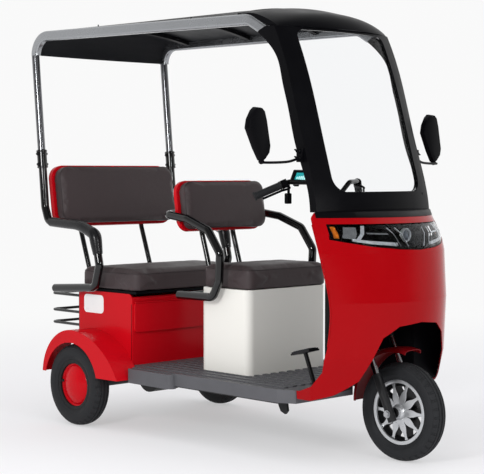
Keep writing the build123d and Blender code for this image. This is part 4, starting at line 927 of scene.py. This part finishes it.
leaf_outline = (
    (0.000, 0.018), (-0.014, 0.020), (-0.045, 0.068), (-0.087, 0.150), (-0.080, 0.186), (-0.058, 0.222),
    (-0.040, 0.236), (-0.006, 0.234), (0.010, 0.220), (0.022, 0.182), (0.042, 0.080), (0.036, 0.050),
    (0.010, 0.022),
)
for side, tip_y, word in ((-1, -0.524, "right"), (1, 0.592, "left")):
    head_x = rear_axle_x + 1.300
    bm = bmesh.new()
    leaf = bm.faces.new([bm.verts.new((head_x, tip_y + y, 1.240 + z)) for y, z in leaf_outline])
    push_out(bm, leaf, (0.026, 0, 0))
    bmesh.ops.recalc_face_normals(bm, faces=bm.faces)
    fronts = [edge for edge in bm.edges if all(vert.co.x > head_x + 0.02 for vert in edge.verts)]
    round_edges(bm, fronts, 0.013, 2, 0.6)
    mirror_head = put("mirror_head_" + word, bm, [satin_abs], "chassis", 24)
    bm = bmesh.new()
    middle = Vector((0.0, tip_y - 0.020, 1.370))
    glass = []
    for y, z in leaf_outline:
        spot = Vector((0.0, tip_y + y, 1.240 + z))
        spot = middle + (spot - middle) * 0.92
        glass.append(bm.verts.new((head_x - 0.0010, spot.y, spot.z)))
    pane = bm.faces.new(glass)
    push_out(bm, pane, (0.0012, 0, 0))
    put("mirror_glass_" + word, bm, [mirror_glass], "chassis")
    clamp_y = side * 0.3715
    tube(
        "mirror_arm_" + word,
        [
            (rear_axle_x + 1.382, clamp_y, 1.272), (rear_axle_x + 1.380, side * 0.400, 1.262),
            (rear_axle_x + 1.372, side * 0.440, 1.252), (rear_axle_x + 1.330, tip_y + 0.012 * side, 1.250),
            (rear_axle_x + 1.313, tip_y - 0.004, 1.254), (rear_axle_x + 1.313, tip_y - 0.006, 1.270),
        ],
        0.0055, satin_abs, "chassis", smooth=True, sides=4,
    )
    bm = bmesh.new()
    ball = [(0.0125 * sin(k * pi / 10), 0.0125 * cos(k * pi / 10)) for k in range(11)]
    turn(bm, ball, (rear_axle_x + 1.313, tip_y - 0.004, 1.256), (0, 0, 1), 20, closed=False)
    block(bm, (0.030, 0.0138, 0.058), Matrix.Translation((rear_axle_x + 1.382, clamp_y, 1.282)))
    for height in (1.268, 1.297):
        at = Vector((rear_axle_x + 1.382, side * 0.3780, height))
        knob = ((0.0, 0.016), (0.0045, 0.016), (0.0060, 0.013), (0.0060, 0.006), (0.0100, 0.004), (0.0100, 0.0))
        turn(bm, knob, at, (0, side, 0), 18, closed=False)
        wing = Matrix.Translation(at + Vector((0, side * 0.012, 0))) @ Matrix.Rotation(radians(35), 4, "Y")
        block(bm, (0.030, 0.009, 0.004), wing)
    put("mirror_clamp_" + word, bm, [satin_abs], "chassis")
    if side < 0:
        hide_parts("mirrors")

# Front mudguard: a red polypropylene moulding with turned-down sides, bolted under the fork's brace. Its red is
# drawn dark as painted shade under the nose's arch.
guard_centre = Vector((rear_axle_x + 1.625, 0.0, 0.240))
guard_section = (
    (-0.052, 0.220), (-0.0505, 0.229), (-0.046, 0.235), (-0.036, 0.2385), (-0.018, 0.2400), (0.0, 0.2405),
    (0.018, 0.2400), (0.036, 0.2385), (0.046, 0.235), (0.0505, 0.229), (0.052, 0.220),
)
guard_red_painted_shade = finish("red_polypropylene_painted_shade", 0.1, ("5C0106", "6A030A"), 120, (0.3, 0.45), 5, 0.1)
bm = bmesh.new()
points = [bm.verts.new(guard_centre + Vector((0.0, y, r))) for y, r in guard_section]
edges = [bm.edges.new(pair) for pair in zip(points, points[1:])]
bmesh.ops.rotate(bm, verts=points, cent=guard_centre, matrix=Matrix.Rotation(radians(14), 3, "Y"))
bmesh.ops.spin(
    bm, geom=points + edges, cent=guard_centre, axis=(0, 1, 0), dvec=(0, 0, 0), angle=radians(-106), steps=28,
    use_merge=False, use_normal_flip=False, use_duplicate=False,
)
bmesh.ops.recalc_face_normals(bm, faces=bm.faces)
bmesh.ops.solidify(bm, geom=bm.faces[:], thickness=0.0035)
guard = put("front_wheel_guard", bm, [guard_red_painted_shade], "steering")
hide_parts("front_mudguard")

# Front axle nuts: zinc-plated hexagons, tightened on a washer outside each fork leg.
# They clamp the wheel's spindle.
bm = bmesh.new()
for side in (-1, 1):
    nut = Matrix.Translation((front_axle_x, side * 0.1090, front_wheel_radius)) @ quarter_turn
    washer = Matrix.Translation((front_axle_x, side * 0.1050, front_wheel_radius)) @ quarter_turn
    peg(bm, 0.0125, 0.009, nut, 6)
    peg(bm, 0.016, 0.002, washer, 24)
put("front_axle_nuts", bm, [zinc_plate], "steering")

# Screen base: a black ABS moulding, clipped over the nose's top edge and under the screen's
# frame, where it closes the shelf between the two.

# height, depth behind the nose, reach to each side
base_profile = (
    (1.0250, -0.0015, 0.376), (1.0480, -0.0015, 0.374), (1.0500, 0.0040, 0.366), (1.0590, 0.0490, 0.330),
)
bm = bmesh.new()
rows = [
    [bm.verts.new(nose_at(step * reach / 36, height, inset)) for step in range(-36, 37)]
    for height, inset, reach in base_profile
]
for low_row, high_row in zip(rows, rows[1:]):
    for index in range(72):
        bm.faces.new((low_row[index], low_row[index + 1], high_row[index + 1], high_row[index]))
wall_behind(bm, 0.0025)
put("screen_base", bm, [satin_abs], "chassis")

# Windscreen fittings: a rubbery plug over a hole in the lower bar, and a plain ABS stay at the
# far lower corner, screwed on from inside.
bm = bmesh.new()
plug = ((0.0, 0.005), (0.0085, 0.005), (0.0110, 0.003), (0.0110, -0.012), (0.0, -0.012))
turn(bm, plug, (rear_axle_x + 1.4800, -0.280, 1.098), (0.89, -0.45, 0), 24, closed=False)
stay = Matrix.Translation((rear_axle_x + 1.462, 0.305, 1.075)) @ Matrix.Rotation(radians(52), 4, "Z")
block(bm, (0.016, 0.050, 0.095), stay)
put("screen_plug_and_stay", bm, [satin_abs], "chassis")

# Nose edges: the moulding is returned in a rolled bead, which runs down each side of the nose
# and stiffens its edge.
def node_surface(name):
    """A CAD node's surface, to find points on."""
    bm = bmesh.new()
    bm.from_mesh(node[name].data)
    surface = BVHTree.FromBMesh(bm)
    bm.free()
    return surface


skin = node_surface("front_shell")
shell_run = ((1.474, 1.000), (1.508, 0.912), (1.535, 0.800), (1.557, 0.700), (1.562, 0.600), (1.553, 0.510))
for side, word in ((-1, "right"), (1, "left")):
    bead = []
    for x, z in shell_run:
        found, normal, _, _ = skin.find_nearest(Vector((rear_axle_x + x, side * 0.45, z)))
        bead.append(found + normal * 0.0005)
    tube("shell_bead_" + word, bead, 0.0032, red_abs_painted_shade, "chassis", smooth=True, sides=3)

# Brake pedal: a ribbed rubber pad, moulded and pressed over the steel plate, against a wet
# sole.
bm = bmesh.new()
pad_slope = Matrix.Rotation(atan2(-0.028, 0.108), 4, "Y")
pad_turn = Matrix.Translation((rear_axle_x + 1.252, -0.205, 0.4475)) @ pad_slope
block(bm, (0.104, 0.060, 0.006), pad_turn)
for index in range(6):
    at = pad_turn @ Matrix.Translation((-0.040 + index * 0.016, 0, 0.004))
    block(bm, (0.007, 0.052, 0.003), at)
put("pedal_rubber", bm, [rubber], "chassis")

# Tail lamps: a red acrylic lens and an opal reversing strip over it, moulded and snapped into
# the back of each black housing.
lens_red = finish("red_acrylic_lens", 0.5, ("7E0206", "A10A10"), 8, (0.08, 0.2), 3, 0.2)
lamp_points = [vert.co for vert in node["tail_lamps"].data.vertices]
for side, word in ((-1, "right"), (1, "left")):
    own = [point for point in lamp_points if point.y * side > 0]
    low = Vector([min(point[axis] for point in own) for axis in range(3)])
    high = Vector([max(point[axis] for point in own) for axis in range(3)])
    for kind, z0, z1, material in (("red", 0.10, 0.62, lens_red), ("clear", 0.66, 0.90, diffuser)):
        bm = bmesh.new()
        middle = Vector((low.x - 0.001, (low.y + high.y) / 2, low.z + (z0 + z1) / 2 * (high.z - low.z)))
        size = (0.008, (high.y - low.y) * 0.86, (z1 - z0) * (high.z - low.z))
        block(bm, size, Matrix.Translation(middle))
        round_edges(bm, bm.edges[:], 0.003, 2)
        put("tail_lens_" + kind + "_" + word, bm, [material], "chassis")

# Switch pod: a small black ABS housing that hangs from the bar on a stem, beside the display,
# and turns with the steering.
bm = bmesh.new()
block(bm, (0.022, 0.026, 0.046), Matrix.Translation((rear_axle_x + 1.146, -0.200, 1.098)))
round_edges(bm, bm.edges[:], 0.004, 2)
pod_stem = Matrix.Translation((rear_axle_x + 1.149, -0.200, 1.138))
peg(bm, 0.006, 0.045, pod_stem, 12)
put("switch_pod", bm, [satin_abs], "steering")

# Side plates: white vinyl on a thin backing, with rounded corners, glued to each side of the
# bench box. They are blank.
plate_white = finish("blank_white_vinyl", 0.3, ("E6E6E4", "EFEFED"), 120, (0.25, 0.4), 4, 0.05)
for side, word in ((-1, "right"), (1, "left")):
    bm = bmesh.new()
    block(bm, (0.150, 0.0012, 0.088))
    corners = [edge for edge in bm.edges if abs(edge.verts[0].co.y - edge.verts[1].co.y) > 0.001]
    round_edges(bm, corners, 0.020, 6)
    bmesh.ops.translate(bm, vec=(rear_axle_x + 0.010, side * (bench_side_y + 0.0007), 0.578), verts=bm.verts)
    put("side_plate_" + word, bm, [plate_white], "chassis")

# Roof studs: cropped threaded ends and nuts of the painted bolts that hold the skin on the
# rails.
roof_skin = node_surface("roof_panel")
bm = bmesh.new()
for along, side_y in ((0.060, 0.380), (0.687, 0.350)):
    for side in (-1, 1):
        above = Vector((rear_axle_x + along, side * side_y, 2.5))
        top, _, _, _ = roof_skin.ray_cast(above, Vector((0, 0, -1)))
        at = Matrix.Translation(top)
        for radius, depth, rise in ((0.0070, 0.004, 0.0), (0.0030, 0.014, 0.006)):
            peg(bm, radius, depth, at @ Matrix.Translation((0, 0, rise)), 12)
put("roof_studs", bm, [black_steel], "chassis")

# Bench front: the top edge of the panel is folded over in a small roll, which catches the
# light.
lip = [(rear_axle_x + 0.3135, y, 0.6005) for y in (-0.366, -0.12, 0.12, 0.366)]
tube("bench_panel_lip", lip, 0.0032, red_abs_painted_light, "chassis", sides=3)

# Bench corners: the side and front mouldings meet behind each front corner in a narrow gap, drawn as a thin black
# strip that is painted shade in the gap.
bm = bmesh.new()
for side in (-1, 1):
    seam_at = Matrix.Translation((rear_axle_x + 0.2940, side * (bench_side_y + 0.0002), 0.458))
    block(bm, (0.003, 0.0008, 0.270), seam_at)
put("bench_corner_painted_shade", bm, [satin_abs], "chassis")

# Bench lock: a zinc-plated barrel with a flange, pushed through the front of the box near its
# right corner.
bm = bmesh.new()
lock_outline = ((0.0, 0.006), (0.0060, 0.006), (0.0070, 0.0050), (0.0070, 0.0030), (0.0100, 0.0025), (0.0100, 0.0))
turn(bm, lock_outline, (rear_axle_x + 0.3003, -0.340, 0.575), (1, 0, 0), 24, closed=False)
put("bench_lock", bm, [zinc_plate], "chassis")
